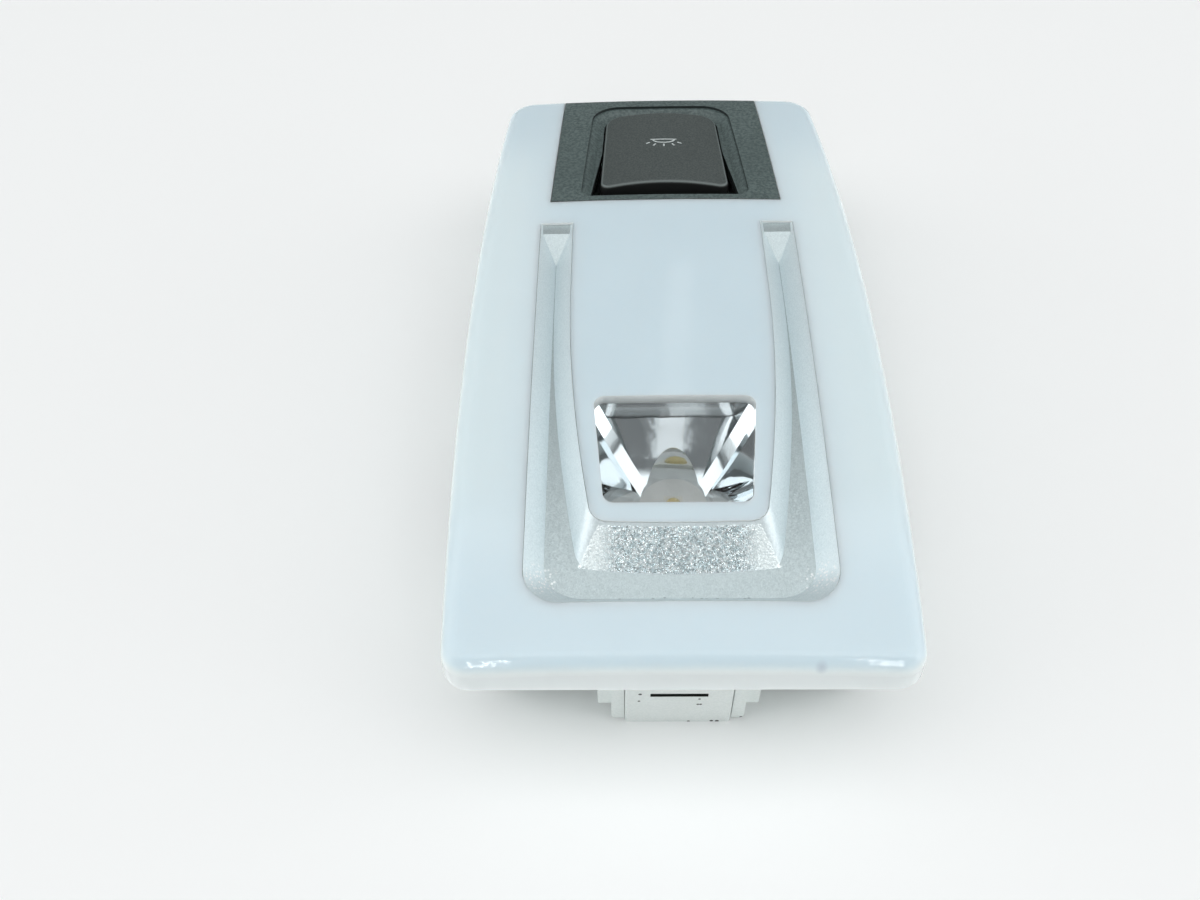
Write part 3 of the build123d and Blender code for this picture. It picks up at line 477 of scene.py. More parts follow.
@dataclass(frozen=True)
class SatinSilver:
    """Satin silver with fine glinting flakes, painted lighter on its walls, with painted glints in its near
    corners.

    Attributes:
        corners: Where painted glints lie on the coarse flakes of its near corners.
        base: Colour of the silver on its floor.
        shade: Colour between the floor's flakes.
        painted_wall_shading: Colour of the silver on its walls, painted lighter than the floor as light on
            the walls.
        painted_wall_shading_dark: Colour between the walls' flakes, painted lighter in the same way.
        steep: How far up a face looks where it takes all the walls' colours and where it takes none.
        painted_glint: Colour painted on the coarse flakes of the near corners as bright glints.
        painted_glint_fade: Share of a corner's radius over which the glints thin out.
        flake_size: How far from its middle a coarse flake starts and ends to fade, as a share of its cell.
        edge_dots: Colour of the dark dots along its floor's near edge.
        edge_dot_size: How far from its middle a dot does so, as a share of its cell.
        edge_y: Where that edge is, in metres.
        edge_width: How far from the edge the dots start and end to thin out, in metres.
        edge_half: How far across from the middle it does so, in metres.
        metal: How much of a metal it is where it faces up.
        metal_span: How far up a face looks where it is no metal and where it is one.
        roughness: Lowest and highest roughness.
        tilt: How far the fine flakes lean.
    """

    corners: tuple[Speck, ...]
    base: Colour = linear(192, 205, 207)
    shade: Colour = linear(170, 184, 187)
    painted_wall_shading: Colour = linear(232, 243, 246)
    painted_wall_shading_dark: Colour = linear(216, 229, 233)
    steep: Span = (0.72, 0.97)
    painted_glint: Colour = linear(252, 254, 254)
    painted_glint_fade: float = 0.8
    flake_size: Span = (0.2, 0.45)
    edge_dots: Colour = linear(112, 125, 129)
    edge_dot_size: Span = (0.24, 0.34)
    edge_y: float = -63.7 * MM
    edge_width: Span = (0.2 * MM, 0.4 * MM)
    edge_half: Span = (10.4 * MM, 13 * MM)
    metal: float = 0.5
    metal_span: Span = (0.05, 0.2)
    roughness: Span = (0.32, 0.44)
    tilt: float = 0.09

    def material(self) -> bpy.types.Material:
        """Build the finish as a material.

        Returns:
            The material.
        """
        tree = Tree("silver_trim")
        grey = tree.nodes.new("ShaderNodeRGBToBW")
        tree.join(tree.cells(Grain.DUST, "Color"), grey.inputs["Color"])
        floor = tree.blend(grey.outputs["Val"], self.base, self.shade)
        # Painted light: the walls take lighter colours than the floor, to even out their shade.
        painted_wall_shading = tree.blend(grey.outputs["Val"], self.painted_wall_shading, self.painted_wall_shading_dark)
        upright = tree.uprightness()
        colour = tree.blend(tree.span(upright, *self.steep, 1.0, 0.0), floor, painted_wall_shading)
        # Painted highlight: coarse flakes in the near corners, a real rough texture, are painted almost
        # white as glints.
        flakes = tree.span(tree.cells(Grain.PEBBLE), *self.flake_size, 1.0, 0.0)
        flakes = tree.math("MULTIPLY", tree.specks(self.corners, self.painted_glint_fade), flakes)
        colour = tree.blend(flakes, colour, self.painted_glint)
        row = tree.span(tree.away(tree.axis("Y"), self.edge_y), *self.edge_width, 1.0, 0.0)
        ends = tree.span(tree.away(tree.axis("X"), 0.0), *self.edge_half, 1.0, 0.0)
        edge_dot_mask = tree.span(tree.cells(Grain.DOT), *self.edge_dot_size, 1.0, 0.0)
        edge_dot_mask = tree.math("MULTIPLY", tree.math("MULTIPLY", row, ends), edge_dot_mask)
        colour = tree.blend(edge_dot_mask, colour, self.edge_dots)
        fine = tree.clouds(Grain.FINE, detail=4.0, rough=0.6)
        tree.shader(
            Base_Color=colour,
            Metallic=tree.span(upright, *self.metal_span, 0.0, self.metal),
            Roughness=tree.span(fine, *NOISE_SPAN, *self.roughness),
            Normal=tree.flaked(Grain.FLAKE, self.tilt),
        )
        return tree.material


@dataclass(frozen=True)
class HammeredSilver:
    """Bright, rough-cast silver of the apron.

    Attributes:
        base: Colour on its high spots.
        shade: Colour in each pit, painted darker as shade.
        pit_shade: How far from a bump's middle the painted pit shade starts and is reached, as a share of
            the pattern's cell.
        pale: Colour painted on its ends as a bright highlight.
        ends: How far across from the middle the ends start and are reached, in metres.
        metal: How much of a metal it is in the middle and at its ends.
        roughness: Lowest and highest roughness.
        relief: Share of its fine relief that shows.
        depth: Depth of that relief, in metres.
    """

    base: Colour = linear(242, 252, 254)
    shade: Colour = linear(196, 215, 220)
    pit_shade: Span = (0.2, 0.75)
    pale: Colour = linear(242, 253, 254)
    ends: Span = (10 * MM, 15 * MM)
    metal: Span = (0.92, 0.25)
    roughness: Span = (0.18, 0.3)
    relief: float = 0.25
    depth: float = 0.05 * MM

    def material(self) -> bpy.types.Material:
        """Build the finish as a material.

        Returns:
            The material.
        """
        tree = Tree("hammered_silver")
        fine = tree.clouds(Grain.FINE, detail=3.0)
        off = tree.away(tree.axis("X"), 0.0)
        # Painted shade: the pit round each bump is darker than its high spot.
        mottled = tree.blend(tree.span(tree.cells(Grain.PEBBLE), *self.pit_shade), self.base, self.shade)
        tree.shader(
            # Painted highlight: the apron's ends are painted almost white.
            Base_Color=tree.blend(tree.span(off, *self.ends), mottled, self.pale),
            Metallic=tree.span(off, *self.ends, *self.metal),
            Roughness=tree.span(fine, *NOISE_SPAN, *self.roughness),
            Normal=tree.relief(fine, self.relief, self.depth),
        )
        return tree.material


@dataclass(frozen=True)
class ClearPane:
    """Clear polished plastic.

    Attributes:
        tint: Colour of light that goes through it.
        bending: How strongly it bends light.
        haze: Noise values at which its haze starts and is reached.
        roughness: Roughness where it is clear and where it is hazy.
    """

    tint: Colour = (0.97, 0.985, 0.985)
    bending: float = 1.49
    haze: Span = (0.4, 0.75)
    roughness: Span = (0.0, 0.02)

    def material(self) -> bpy.types.Material:
        """Build the finish as a material.

        Returns:
            The material.
        """
        tree = Tree("clear_pane")
        clouds = tree.clouds(Grain.CLOUD, detail=3.0)
        tree.shader(
            Base_Color=self.tint,
            Roughness=tree.span(clouds, *self.haze, *self.roughness),
            IOR=self.bending,
            Transmission_Weight=1.0,
        )
        return tree.material


@dataclass(frozen=True)
class Chrome:
    """Vacuum-plated mirror skin with the slight ripple of its moulding.

    Attributes:
        base: Colour of the mirror.
        roughness: Lowest and highest roughness.
        ripple: Share of the ripple that shows.
        depth: Depth of the ripple, in metres.
    """

    base: Colour = (0.84, 0.88, 0.9)
    roughness: Span = (0.02, 0.06)
    ripple: float = 0.05
    depth: float = 0.3 * MM

    def material(self) -> bpy.types.Material:
        """Build the finish as a material.

        Returns:
            The material.
        """
        tree = Tree("chromed_reflector")
        waves = tree.clouds(Grain.CLOUD, detail=2.0)
        tree.shader(
            Base_Color=self.base,
            Metallic=1.0,
            Roughness=tree.span(waves, *NOISE_SPAN, *self.roughness),
            Normal=tree.relief(waves, self.ripple, self.depth),
        )
        return tree.material


@dataclass(frozen=True)
class GrainedPlastic:
    """Moulded plastic with an even grain.

    Attributes:
        name: Name of the material.
        base: Colour of its high spots.
        shade: Colour of its low spots.
        roughness: Middle roughness.
        spread: How far the roughness goes either way.
        grain: How coarse the grain is.
        relief: Share of the grain's relief that shows.
        depth: Depth of the grain, in metres.
        cloud: Largest share of the low spots' colour in its broad clouds.
        cloud_span: Noise values at which those clouds start and are reached.
        painted_wall_shading: Colour painted on its steep faces as shade, if it has another there.
        steep: How far up a face looks where it takes all the steep faces' painted shade and where it takes
            none.
        edge: Colour painted on its rounded edges as a highlight, if it has another there.
        highlight_start: How far up a face looks where the painted edge highlight starts and is reached.
        highlight_end: How far up it looks where it starts to fade and ends.
        dirt_and_slot_shade: Colour of its specks, and the painted shade of its slot insides.
        marks: Where the specks are.
        mark_fade: Share of a speck's radius over which it fades.
        painted_shade_slots: Insides of narrow slot openings, as pairs of opposite corners, which the colour
            of the specks fills as painted shade.
        milk: Share of the light that goes into it.
        reach: How far that light goes, in metres.
    """

    name: str
    base: Colour
    shade: Colour
    roughness: float = 0.5
    spread: float = 0.08
    grain: Grain = Grain.FINE
    relief: float = 0.6
    depth: float = 0.04 * MM
    cloud: float = 0.35
    cloud_span: Span = (0.4, 0.7)
    painted_wall_shading: Colour | None = None
    steep: Span = (0.35, 0.6)
    edge: Colour | None = None
    highlight_start: Span = (0.5, 0.7)
    highlight_end: Span = (0.8, 0.94)
    dirt_and_slot_shade: Colour = linear(38, 41, 40)
    marks: tuple[Speck, ...] = ()
    mark_fade: float = 0.4
    painted_shade_slots: tuple[tuple[Point, Point], ...] = ()
    milk: float = 0.0
    reach: float = 1.5 * MM

    def material(self) -> bpy.types.Material:
        """Build the finish as a material.

        Returns:
            The material.
        """
        tree = Tree(self.name)
        fine = tree.clouds(self.grain, detail=4.0, rough=0.6)
        broad = tree.clouds(Grain.MIST, detail=2.0)
        colour = tree.blend(tree.span(fine, *NOISE_CORE), self.shade, self.base)
        colour = tree.blend(tree.span(broad, *self.cloud_span, 0.0, self.cloud), colour, self.shade)
        upright = tree.uprightness()
        # Painted shade: steep faces take their own darker colour.
        if self.painted_wall_shading:
            colour = tree.blend(tree.span(upright, *self.steep, 1.0, 0.0), colour, self.painted_wall_shading)
        # Painted highlight: a lighter line along the rounded edges.
        if self.edge:
            start = tree.span(upright, *self.highlight_start)
            end = tree.span(upright, *self.highlight_end, 1.0, 0.0)
            colour = tree.blend(tree.math("MULTIPLY", start, end), colour, self.edge)
        if self.marks:
            colour = tree.blend(tree.specks(self.marks, self.mark_fade), colour, self.dirt_and_slot_shade)
        # Painted shade: the insides of narrow slot openings take the colour of the specks.
        for low, high in self.painted_shade_slots:
            colour = tree.blend(tree.inside(low, high), colour, self.dirt_and_slot_shade)
        rough, smooth = self.roughness + self.spread, self.roughness - self.spread
        tree.shader(
            Base_Color=colour,
            Roughness=tree.span(fine, *NOISE_SPAN, rough, smooth),
            Subsurface_Weight=self.milk,
            Subsurface_Radius=(1.0, 1.0, 1.0),
            Subsurface_Scale=self.reach,
            Normal=tree.relief(fine, self.relief, self.depth),
        )
        return tree.material


@dataclass(frozen=True)
class DrawnMetal:
    """Metal with fine lines along the way it was rolled or drawn.

    Attributes:
        name: Name of the material.
        base: Colour of the metal.
        shade: Colour of the lines.
        stretch: How the lines lie, as a factor for each axis.
        roughness: Lowest and highest roughness.
        relief: Share of the lines' relief that shows.
        depth: Depth of the lines, in metres.
    """

    name: str
    base: Colour
    shade: Colour
    stretch: Point
    roughness: Span = (0.22, 0.37)
    relief: float = 0.06
    depth: float = 0.02 * MM

    def material(self) -> bpy.types.Material:
        """Build the finish as a material.

        Returns:
            The material.
        """
        tree = Tree(self.name)
        lines = tree.clouds(Grain.DUST, detail=3.0, rough=0.6, place=tree.stretched(self.stretch))
        tree.shader(
            Base_Color=tree.blend(tree.span(lines, *NOISE_CORE), self.base, self.shade),
            Metallic=1.0,
            Roughness=tree.span(lines, *NOISE_SPAN, *self.roughness),
            Normal=tree.relief(lines, self.relief, self.depth),
        )
        return tree.material


def dress(finishes: Mapping[str, Finish]) -> list[bpy.types.Object]:
    """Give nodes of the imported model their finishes.

    Args:
        finishes: The finish of each node, by the node's name.

    Returns:
        The nodes' objects.
    """
    pieces = []
    for node, finish in finishes.items():
        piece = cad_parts[node]
        piece.data.materials.clear()
        piece.data.materials.append(finish.material())
        pieces.append(piece)
    return pieces


def new_piece(name: str, points: Sequence[Vector], faces: Sequence[Sequence[int]], finish: Finish,
              body: Body) -> bpy.types.Object:
    """Make a piece from points and faces and let it ride on a body.

    Args:
        name: Name of the piece.
        points: Its points, in metres.
        faces: Its faces, as places in points.
        finish: Its finish.
        body: The body that it rides on.

    Returns:
        The new object.
    """
    mesh = bpy.data.meshes.new(name)
    mesh.from_pydata([tuple(p) for p in points], [], [list(f) for f in faces])
    mesh.materials.append(finish.material())
    work = bmesh.new()
    work.from_mesh(mesh)
    bmesh.ops.recalc_face_normals(work, faces=work.faces)
    work.to_mesh(mesh)
    work.free()
    mesh.polygons.foreach_set("use_smooth", [True] * len(mesh.polygons))
    piece = bpy.data.objects.new(name, mesh)
    bpy.context.scene.collection.objects.link(piece)
    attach(piece, body.value)
    return piece


def slab(count: int, columns: int, first: int = 0) -> list[list[int]]:
    """Faces of a closed slab whose top and underside are grids of the same shape.

    Args:
        count: Points in the top, row by row.
        columns: Points in a row.
        first: Place of the top's first point in the piece's points, which the underside's follow.

    Returns:
        The faces, as places in the piece's points.
    """
    rows = count // columns
    low = first + count
    faces = []
    for row in range(rows - 1):
        for column in range(columns - 1):
            a = row * columns + column
            ring = [a, a + columns, a + columns + 1, a + 1]
            faces.append([first + i for i in ring])
            faces.append([low + i for i in reversed(ring)])
    last = count - columns
    rim = list(range(columns))
    rim += [columns * (row + 2) - 1 for row in range(rows - 2)]
    rim += list(range(last + columns - 1, last - 1, -1))
    rim += [columns * row for row in range(rows - 2, 0, -1)]
    for a, b in zip(rim, rim[1:] + rim[:1]):
        faces.append([first + a, first + b, low + b, low + a])
    return faces


@dataclass
class LensGroup:
    """The milky lens.

    Attributes:
        stain: The faint stain by its near edge.
    """

    stain: Speck = Speck((22.2 * MM, -76.3 * MM, 5.6 * MM), 1.7 * MM)

    def build(self) -> list[bpy.types.Object]:
        """Dress the lens."""
        return dress({"lens_cover": MilkyLens(marks=(self.stain,))})


@dataclass
class ChannelGroup:
    """The silver channel and the rough cast of its apron, with lengths in metres.

    Attributes:
        corners: Where the trim's near corners get painted glints.
        half_top: Half of the rough patch's width at its top.
        half_foot: Half of its width at its foot.
        top_y: Where its top edge is.
        foot_y: Where its foot is.
        top_bow: How far its top edge bows towards the spot end.
        foot_bow: How far its foot bows the same way.
        columns: Points across the patch.
        rows: Points down the patch.
        drop: Height from which the patch is dropped on to the trim.
        bump: Height of the rough cast.
        cell: Size of a bump.
        ridge: Share of the bump's height that its cells give.
        ripple: Share that soft noise adds or takes.
        ripple_cell: Size of the soft noise.
        sink: How far the patch's border lies under the trim's face.
        under: How far its underside lies under the trim's face.
        end_fade: How fast it rises from its top edge and foot, per share of its depth.
        side_fade: How fast it rises from its sides, per share of half its width.
    """

    corners: tuple[Speck, ...] = tuple(
        Speck((side * 24.0 * MM, -61.0 * MM, 7.4 * MM), 5.0 * MM) for side in (-1, 1))
    half_top: float = 14.2 * MM
    half_foot: float = 18.4 * MM
    top_y: float = -51.7 * MM
    foot_y: float = -58.1 * MM
    top_bow: float = 0.45 * MM
    foot_bow: float = 1.3 * MM
    columns: int = 330
    rows: int = 84
    drop: float = 50 * MM
    bump: float = 0.1 * MM
    cell: float = 0.42 * MM
    ridge: float = 0.9
    ripple: float = 0.5
    ripple_cell: float = 0.252 * MM
    sink: float = 0.05 * MM
    under: float = 0.15 * MM
    end_fade: float = 18
    side_fade: float = 36

    def apron(self) -> tuple[list[Vector], list[list[int]]]:
        """Lay the apron's rough cast on the trim.

        Returns:
            Its points and its faces.
        """
        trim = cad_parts["channel_trim"]
        top: list[Vector] = []
        under: list[Vector] = []
        for row in range(self.rows):
            down = row / (self.rows - 1)
            half = self.half_top + (self.half_foot - self.half_top) * down
            bow = self.top_bow + (self.foot_bow - self.top_bow) * down
            for column in range(self.columns):
                across = 2 * column / (self.columns - 1) - 1
                y = self.top_y + (self.foot_y - self.top_y) * down - bow * (1 - across**2)
                _, spot, normal, _ = trim.ray_cast(Vector((half * across, y, self.drop)), DOWN)
                from_side = (1 - abs(across)) * self.side_fade
                fade = min(1.0, down * self.end_fade, (1 - down) * self.end_fade, from_side)
                nearest, second = noise.voronoi(spot / self.cell)[0][:2]
                height = (second - nearest) * self.ridge
                height += noise.noise(spot / self.ripple_cell) * self.ripple
                top.append(spot + normal * ((self.bump * height + self.sink) * fade - self.sink))
                under.append(spot - normal * self.under)
        return top + under, slab(len(top), self.columns)

    def build(self) -> list[bpy.types.Object]:
        """Dress the trim and lay the rough cast on its apron.

        Returns:
            The pieces.
        """
        pieces = dress({"channel_trim": SatinSilver(corners=self.corners)})
        points, faces = self.apron()
        pieces.append(new_piece("apron_cast", points, faces, HammeredSilver(), Body.LAMP))
        return pieces


@dataclass
class SpotGroup:
    """The spot window, its reflector and the LED at the reflector's foot, with lengths in metres.

    Attributes:
        skin: Depth of the grain on the LED's smooth mouldings.
    """

    skin: float = 0.01 * MM

    def build(self) -> list[bpy.types.Object]:
        """Dress the spot's pieces.

        Returns:
            The pieces.
        """
        base = GrainedPlastic("led_white", linear(236, 236, 228), linear(224, 224, 216), roughness=0.35,
                              grain=Grain.DUST, depth=self.skin)
        dome = GrainedPlastic("led_phosphor", linear(232, 216, 160), linear(222, 202, 138), roughness=0.25,
                              grain=Grain.DUST, depth=self.skin)
        return dress({
            "spot_window": ClearPane(),
            "spot_reflector": Chrome(),
            "spot_led": base,
            "spot_led_dome": dome,
        })


@dataclass(frozen=True)
class Ray:
    """A ray of the sign on the button.

    Attributes:
        out: How far out from the sign's middle it starts, in metres.
        down: How far under the sign's top line it starts, in metres.
        lean: How far it leans outwards, in degrees.
    """

    out: float
    down: float
    lean: float


@dataclass
class SwitchGroup:
    """The switch bezel, the push button with its sign, and the switch under it, with lengths in metres.

    Attributes:
        sign_x: Where the middle of the sign is, across the button.
        sign_y: Where the sign's top line is, along the button.
        brim_half: Half of the length of that line, which lies over the bowl.
        bowl_half: Half of the bowl's width.
        bowl_depth: How deep the bowl is.
        bowl_steps: Straight pieces that the bowl's curve is drawn in.
        rays: The middle ray, and those that stand on both sides of it.
        ray: Length of a ray.
        stroke: Width of the sign's lines.
        step: Length of the short pieces that a line is laid in.
        ink: Height of the print above the button.
        drop: How far above the button the print starts before it is laid on it.
        bezel_grain: Depth of the bezel's grain.
        button_grain: Depth of the button's grain.
        ink_grain: Depth of the print's grain.
    """

    sign_x: float = 0.3 * MM
    sign_y: float = 55.8 * MM
    brim_half: float = 3.0 * MM
    bowl_half: float = 2.52 * MM
    bowl_depth: float = 1.5 * MM
    bowl_steps: int = 16
    rays: tuple[Ray, ...] = (
        Ray(0.0, 2.15 * MM, 0),
        Ray(1.85 * MM, 2.0 * MM, 35),
        Ray(3.15 * MM, 1.3 * MM, 62),
    )
    ray: float = 1.05 * MM
    stroke: float = 0.36 * MM
    step: float = 0.297 * MM
    ink: float = 0.03 * MM
    drop: float = 10.0 * MM
    bezel_grain: float = 0.06 * MM
    button_grain: float = 0.02 * MM
    ink_grain: float = 0.01 * MM

    def lines(self) -> list[list[Plan]]:
        """Draw a plain dome-lamp sign.

        Returns:
            Its lines, each as a run of plan points.
        """
        angles = [math.pi * step / self.bowl_steps for step in range(self.bowl_steps + 1)]
        bowl = [(-self.bowl_half * math.cos(a), -self.bowl_depth * math.sin(a)) for a in angles]
        runs = [[(-self.brim_half, 0.0), (self.brim_half, 0.0)], bowl]
        for ray in self.rays:
            angle = math.radians(ray.lean)
            out = ray.out + math.sin(angle) * self.ray
            down = ray.down + math.cos(angle) * self.ray
            sides = (-1, 1) if ray.out else (1,)
            runs += [[(side * ray.out, -ray.down), (side * out, -down)] for side in sides]
        return [[(self.sign_x + x, self.sign_y + y) for x, y in run] for run in runs]

    def laid(self, run: Sequence[Plan]) -> list[Plan]:
        """Cut a line into short pieces, so that it can follow the button's bow.

        Args:
            run: The line's plan points.

        Returns:
            Its plan points with those between the pieces.
        """
        fine: list[Plan] = []
        for (x0, y0), (x1, y1) in zip(run, run[1:]):
            steps = max(1, round(math.hypot(x1 - x0, y1 - y0) / self.step))
            shares = [i / steps for i in range(steps)]
            fine += [(x0 + (x1 - x0) * share, y0 + (y1 - y0) * share) for share in shares]
        return fine + [run[-1]]

    def sign(self) -> tuple[list[Vector], list[list[int]]]:
        """Lay the sign on the button's top.

        Returns:
            Its points and its faces.
        """
        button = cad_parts["switch_button"]
        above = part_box("switch_button")[1].z + self.drop
        points: list[Vector] = []
        faces: list[list[int]] = []
        for run in self.lines():
            fine = self.laid(run)
            top: list[Vector] = []
            under: list[Vector] = []
            for i, (x, y) in enumerate(fine):
                before, after = fine[max(i - 1, 0)], fine[min(i + 1, len(fine) - 1)]
                along = Vector((after[0] - before[0], after[1] - before[1])).normalized()
                for half in (-self.stroke / 2, self.stroke / 2):
                    edge = Vector((x - half * along.y, y + half * along.x, above))
                    _, spot, normal, _ = button.ray_cast(edge, DOWN)
                    top.append(spot + normal * self.ink)
                    under.append(spot - normal * self.ink)
            faces += slab(len(top), 2, len(points))
            points += top + under
        return points, faces

    def build(self) -> list[bpy.types.Object]:
        """Dress the switch's pieces and print the sign.

        Returns:
            The pieces.
        """
        # Painted shade: the bezel's steep well walls are dark.
        bezel = GrainedPlastic("grained_bezel", linear(92, 107, 106), linear(66, 80, 79), roughness=0.55,
                               grain=Grain.PEBBLE, depth=self.bezel_grain, painted_wall_shading=linear(42, 50, 50))
        # Painted shade and painted highlight: the button's steep sides and near face are dark, and a
        # lighter line runs along its rounded edges.
        button = GrainedPlastic("smooth_button", linear(76, 84, 83), linear(62, 70, 69),
                                depth=self.button_grain, painted_wall_shading=linear(26, 29, 29),
                                edge=linear(108, 118, 117))
        black = GrainedPlastic("switch_black", linear(40, 40, 40), linear(30, 30, 30), roughness=0.45)
        steel = DrawnMetal("switch_steel", linear(200, 202, 204), linear(172, 175, 178),
                           stretch=(0.05, 1.0, 1.0))
        white = GrainedPlastic("plunger_white", linear(232, 232, 226), linear(218, 218, 212),
                               roughness=0.45)
        ink = GrainedPlastic("sign_ink", linear(206, 215, 215), linear(184, 194, 194), grain=Grain.DUST,
                             depth=self.ink_grain)
        pieces = dress({
            "switch_bezel": bezel,
            "switch_button": button,
            "switch_body": black,
            "switch_cover": steel,
            "switch_plunger": white,
        })
        points, faces = self.sign()
        pieces.append(new_piece("button_sign", points, faces, ink, Body.BUTTON))
        return pieces


@dataclass
class BoardGroup:
    """The circuit board and what it carries, with lengths in metres.

    Attributes:
        resist_depth: Depth of the slight waves in the board's white skin.
    """

    resist_depth: float = 0.01 * MM

    def build(self) -> list[bpy.types.Object]:
        """Dress the board's pieces.

        Returns:
            The pieces.
        """
        resist = GrainedPlastic("board_white", linear(236, 238, 236), linear(226, 229, 227), roughness=0.3,
                                grain=Grain.CLOUD, depth=self.resist_depth)
        white = GrainedPlastic("small_led_white", linear(238, 238, 230), linear(226, 226, 218),
                               roughness=0.4)
        chip = GrainedPlastic("chip_black", linear(38, 39, 40), linear(28, 29, 30), grain=Grain.DUST)
        black = GrainedPlastic("resistor_black", linear(34, 34, 34), linear(24, 24, 24), roughness=0.35,
                               grain=Grain.DUST)
        can = DrawnMetal("can_aluminium", linear(226, 228, 230), linear(204, 207, 210),
                         stretch=(1.0, 1.0, 0.03))
        screw = DrawnMetal("screw_steel", linear(206, 208, 210), linear(180, 183, 186),
                           stretch=(1.0, 1.0, 0.1))
        return dress({
            "circuit_board": resist,
            "ambient_leds": white,
            "driver_chip": chip,
            "resistors": black,
            "capacitors": can,
            "board_screws": screw,
        })


@dataclass
class HousingGroup:
    """The rear housing, the connector and the spring clips, with lengths in metres.

    Attributes:
        specks: Dirt on the connector's face.
        collar_specks: Dirt on the collar round it.
        shaded_latch_slot: Opposite corners of the inside of the connector's latch slot, which is painted
            dark as shade.
        milk: Share of the light that goes into the white mouldings.
    """

    specks: tuple[Speck, ...] = (
        Speck((2.0 * MM, -73.8 * MM, -21.5 * MM), 0.35 * MM),
        Speck((6.2 * MM, -73.7 * MM, -21.3 * MM), 0.4 * MM),
        Speck((7.2 * MM, -73.7 * MM, -21.4 * MM), 0.45 * MM),
        Speck((-6.9 * MM, -73.7 * MM, -10.5 * MM), 0.4 * MM),
        Speck((-7.1 * MM, -73.7 * MM, -13.2 * MM), 0.3 * MM),
        Speck((3.6 * MM, -73.7 * MM, -12.4 * MM), 0.3 * MM),
        Speck((3.4 * MM, -73.7 * MM, -14.5 * MM), 0.32 * MM),
        Speck((3.9 * MM, -73.7 * MM, -14.5 * MM), 0.32 * MM),
    )
    collar_specks: tuple[Speck, ...] = (Speck((11.6 * MM, -73.3 * MM, -20.6 * MM), 0.4 * MM),)
    shaded_latch_slot: tuple[Point, Point] = (
        (-5.12 * MM, -73.65 * MM, -11.52 * MM),
        (5.12 * MM, -72.0 * MM, -10.28 * MM),
    )
    milk: float = 0.15

    def build(self) -> list[bpy.types.Object]:
        """Dress the housing's pieces.

        Returns:
            The pieces.
        """
        white = GrainedPlastic("housing_white", linear(238, 246, 244), linear(232, 240, 238),
                               roughness=0.48, marks=self.collar_specks, milk=self.milk)
        header = GrainedPlastic("header_white", linear(238, 245, 243), linear(231, 239, 237),
                                roughness=0.45, marks=self.specks, painted_shade_slots=(self.shaded_latch_slot,), milk=self.milk)
        pins = DrawnMetal("tinned_pin", linear(226, 222, 208), linear(204, 200, 184),
                          stretch=(1.0, 1.0, 0.05))
        strip = DrawnMetal("spring_steel", linear(204, 206, 208), linear(188, 191, 194),
                           stretch=(0.04, 1.0, 0.04))
        return dress({
            "rear_housing": white,
            "connector_header": header,
            "connector_pins": pins,
            "retaining_clips": strip,
        })


@dataclass(frozen=True)
class Softbox:
    """A soft studio lamp.

    Attributes:
        name: Name of the lamp.
        place: Where it is, in metres.
        size: Its width and height, in metres.
        power: Its power, in watts.
        turn: How far it is turned about the way that it faces, in degrees.
    """

    name: str
    place: Point
    size: tuple[float, float]
    power: float
    turn: float = 0.0

    def build(self, aim: Vector) -> None:
        """Hang the lamp, facing a point.

        Args:
            aim: The point that it faces.
        """
        data = bpy.data.lights.new(self.name, "AREA")
        data.shape = "RECTANGLE"
        data.size, data.size_y = self.size
        data.energy = self.power
        lamp = bpy.data.objects.new(self.name, data)
        lamp.location = self.place
        lamp.rotation_mode = "QUATERNION"
        facing = (aim - Vector(self.place)).to_track_quat("-Z", "Y")
        lamp.rotation_quaternion = facing @ Quaternion((0, 0, 1), math.radians(self.turn))
        bpy.context.scene.collection.objects.link(lamp)


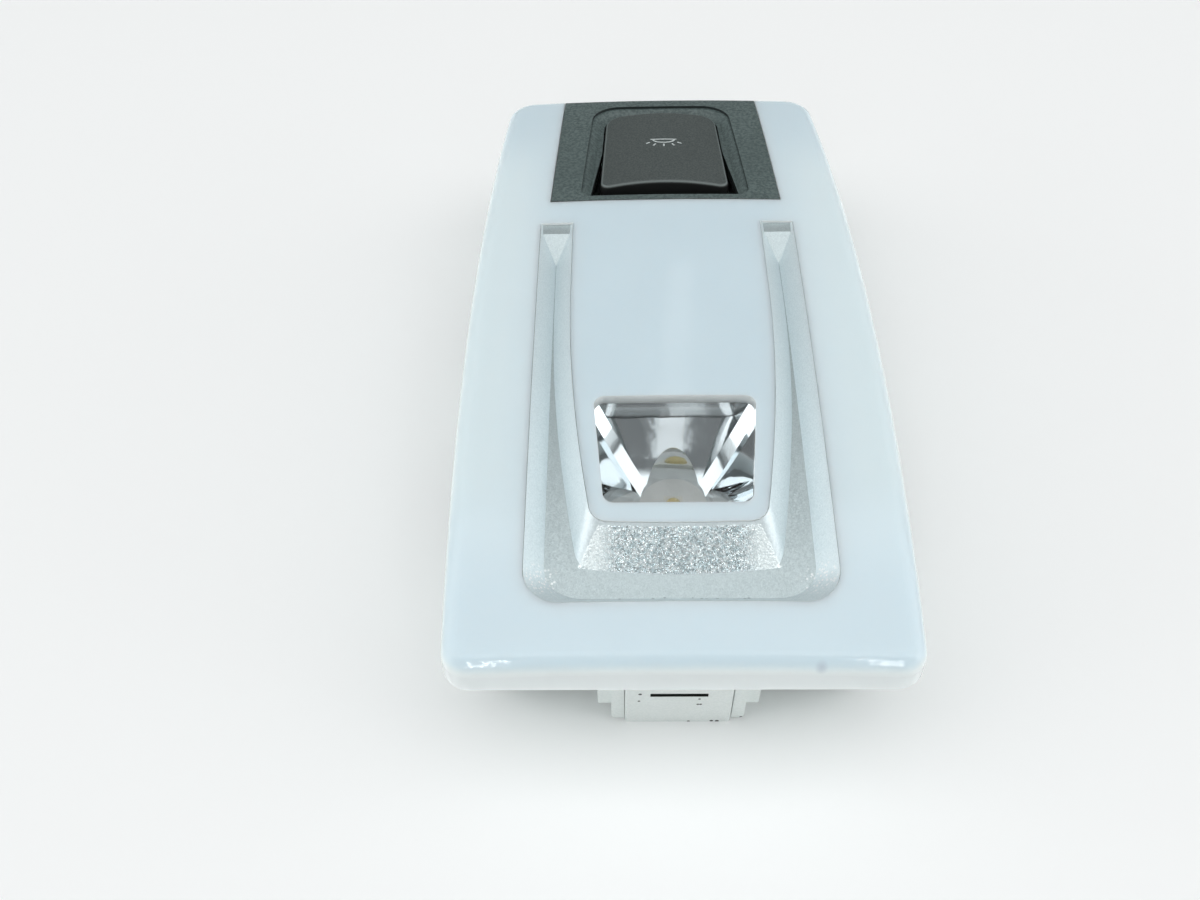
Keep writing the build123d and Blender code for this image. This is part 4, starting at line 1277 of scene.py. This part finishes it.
@dataclass
class Studio:
    """The floor, the soft lamps, the surroundings and the camera, with lengths in metres.

    Attributes:
        floor_half: Half of the floor's width.
        floor: Colour of the floor, and of the backdrop that the camera sees behind it.
        floor_roughness: Roughness of the floor.
        sky: Brightness of the surroundings over the roof lamp and beside it.
        dim_sky: Their brightness at its two ends.
        dim_span: How far along it a direction points where they start and end to dim, from 0 to 1.
        lean: How far the middle of the bright surroundings lies towards the switch end, from 0 to 1.
        lamps: The soft lamps.
        camera_place: Where the camera is.
        pitch: How far it looks down, in radians.
        yaw: How far it turns from straight ahead, in radians.
        roll: How far it leans, in radians.
        focal: Focal length, in pixels of the frame.
        frame_width: Width of the frame, in pixels.
        sensor: Width of the camera's sensor, in millimetres.
        sight: Nearest and farthest distance that the camera sees.
    """

    floor_half: float = 9.0
    floor: Colour = linear(244, 246, 246)
    floor_roughness: float = 0.9
    sky: float = 1.72
    dim_sky: float = 0.24
    dim_span: Span = (0.3, 0.4)
    lean: float = 0.04
    lamps: tuple[Softbox, ...] = (
        Softbox("far_strip", (0.05, 0.6, 0.75), (0.037, 0.4), 0.035),
        Softbox("left_strip", (-0.221, -0.853, 0.607), (0.032, 0.62), 0.7, turn=8),
        Softbox("right_strip", (0.328, -0.82, 0.607), (0.032, 0.62), 0.6, turn=-13),
        Softbox("left_glow", (-0.92, -0.41, 0.32), (0.4, 0.26), 0.55),
        Softbox("right_glow", (0.95, -0.36, 0.26), (0.4, 0.26), 0.55),
    )
    camera_place: Point = (-9.682 * MM, -161.486 * MM, 169.934 * MM)
    pitch: float = 0.9020
    yaw: float = -0.0327
    roll: float = -0.0326
    focal: float = 1115.93
    frame_width: float = 1200.0
    sensor: float = 36.0
    sight: Span = (0.01, 20.0)

    def lay_floor(self) -> None:
        """Lay a plain pale floor under the roof lamp."""
        half, low = self.floor_half, CAD_BOX[0].z
        corners = [(-half, -half, low), (half, -half, low), (half, half, low), (-half, half, low)]
        mesh = bpy.data.meshes.new("floor")
        mesh.from_pydata(corners, [], [(0, 1, 2, 3)])
        tree = Tree("pale_floor")
        tree.shader(Base_Color=self.floor, Roughness=self.floor_roughness, Specular_IOR_Level=0.0)
        mesh.materials.append(tree.material)
        floor = bpy.data.objects.new("floor", mesh)
        bpy.context.scene.collection.objects.link(floor)

    def paint_surroundings(self) -> None:
        """Make the surroundings bright over the roof lamp and beside it, and dim at its two ends."""
        world = bpy.data.worlds.new("surroundings")
        bpy.context.scene.world = world
        tree = NodeTree(world)
        way = tree.nodes.new("ShaderNodeTexCoord").outputs["Generated"]
        along = tree.away(tree.part(way, "Y"), self.lean)
        light = tree.nodes.new("ShaderNodeBackground")
        tree.join((1.0, 1.0, 1.0), light.inputs["Color"])
        tree.join(tree.span(along, *self.dim_span, self.sky, self.dim_sky), light.inputs["Strength"])
        backdrop = tree.nodes.new("ShaderNodeBackground")
        tree.join(self.floor, backdrop.inputs["Color"])
        tree.join(1.0, backdrop.inputs["Strength"])
        seen = tree.nodes.new("ShaderNodeLightPath").outputs["Is Camera Ray"]
        mix = tree.nodes.new("ShaderNodeMixShader")
        output = tree.nodes.new("ShaderNodeOutputWorld")
        tree.join(seen, mix.inputs["Fac"])
        tree.join(light.outputs["Background"], mix.inputs[1])
        tree.join(backdrop.outputs["Background"], mix.inputs[2])
        tree.join(mix.outputs["Shader"], output.inputs["Surface"])

    def hang_lamps(self) -> None:
        """Hang the soft lamps, each facing the middle of the roof lamp."""
        aim = (CAD_BOX[0] + CAD_BOX[1]) / 2
        for lamp in self.lamps:
            lamp.build(aim)

    def stand_camera(self) -> None:
        """Stand the camera where the roof lamp is seen from."""
        flat = Vector((math.sin(self.yaw), math.cos(self.yaw), 0))
        ahead = flat * math.cos(self.pitch) + DOWN * math.sin(self.pitch)
        level = Vector((math.cos(self.yaw), -math.sin(self.yaw), 0))
        above = level.cross(ahead)
        right = level * math.cos(self.roll) + above * math.sin(self.roll)
        up = above * math.cos(self.roll) - level * math.sin(self.roll)
        data = bpy.data.cameras.new("camera")
        data.sensor_width = self.sensor
        data.lens = self.sensor * self.focal / self.frame_width
        data.clip_start, data.clip_end = self.sight
        camera = bpy.data.objects.new("camera", data)
        turn = Matrix((right, up, -ahead)).transposed()
        camera.matrix_world = Matrix.Translation(self.camera_place) @ turn.to_4x4()
        bpy.context.scene.collection.objects.link(camera)
        bpy.context.scene.camera = camera

    def build(self) -> None:
        """Set up the whole studio."""
        bpy.context.scene.view_settings.view_transform = "Standard"
        self.lay_floor()
        self.paint_surroundings()
        self.hang_lamps()
        self.stand_camera()


def main() -> None:
    """Build the sub-assemblies in order, then the studio."""
    logging.basicConfig(level=logging.INFO, format="%(name)s: %(message)s")
    groups = (LensGroup(), ChannelGroup(), SpotGroup(), SwitchGroup(), BoardGroup(), HousingGroup())
    for group in groups:
        for piece in group.build():
            log.info("%s: %s, %d faces", type(group).__name__, piece.name, len(piece.data.polygons))
    Studio().build()


if __name__ == "__main__":
    main()
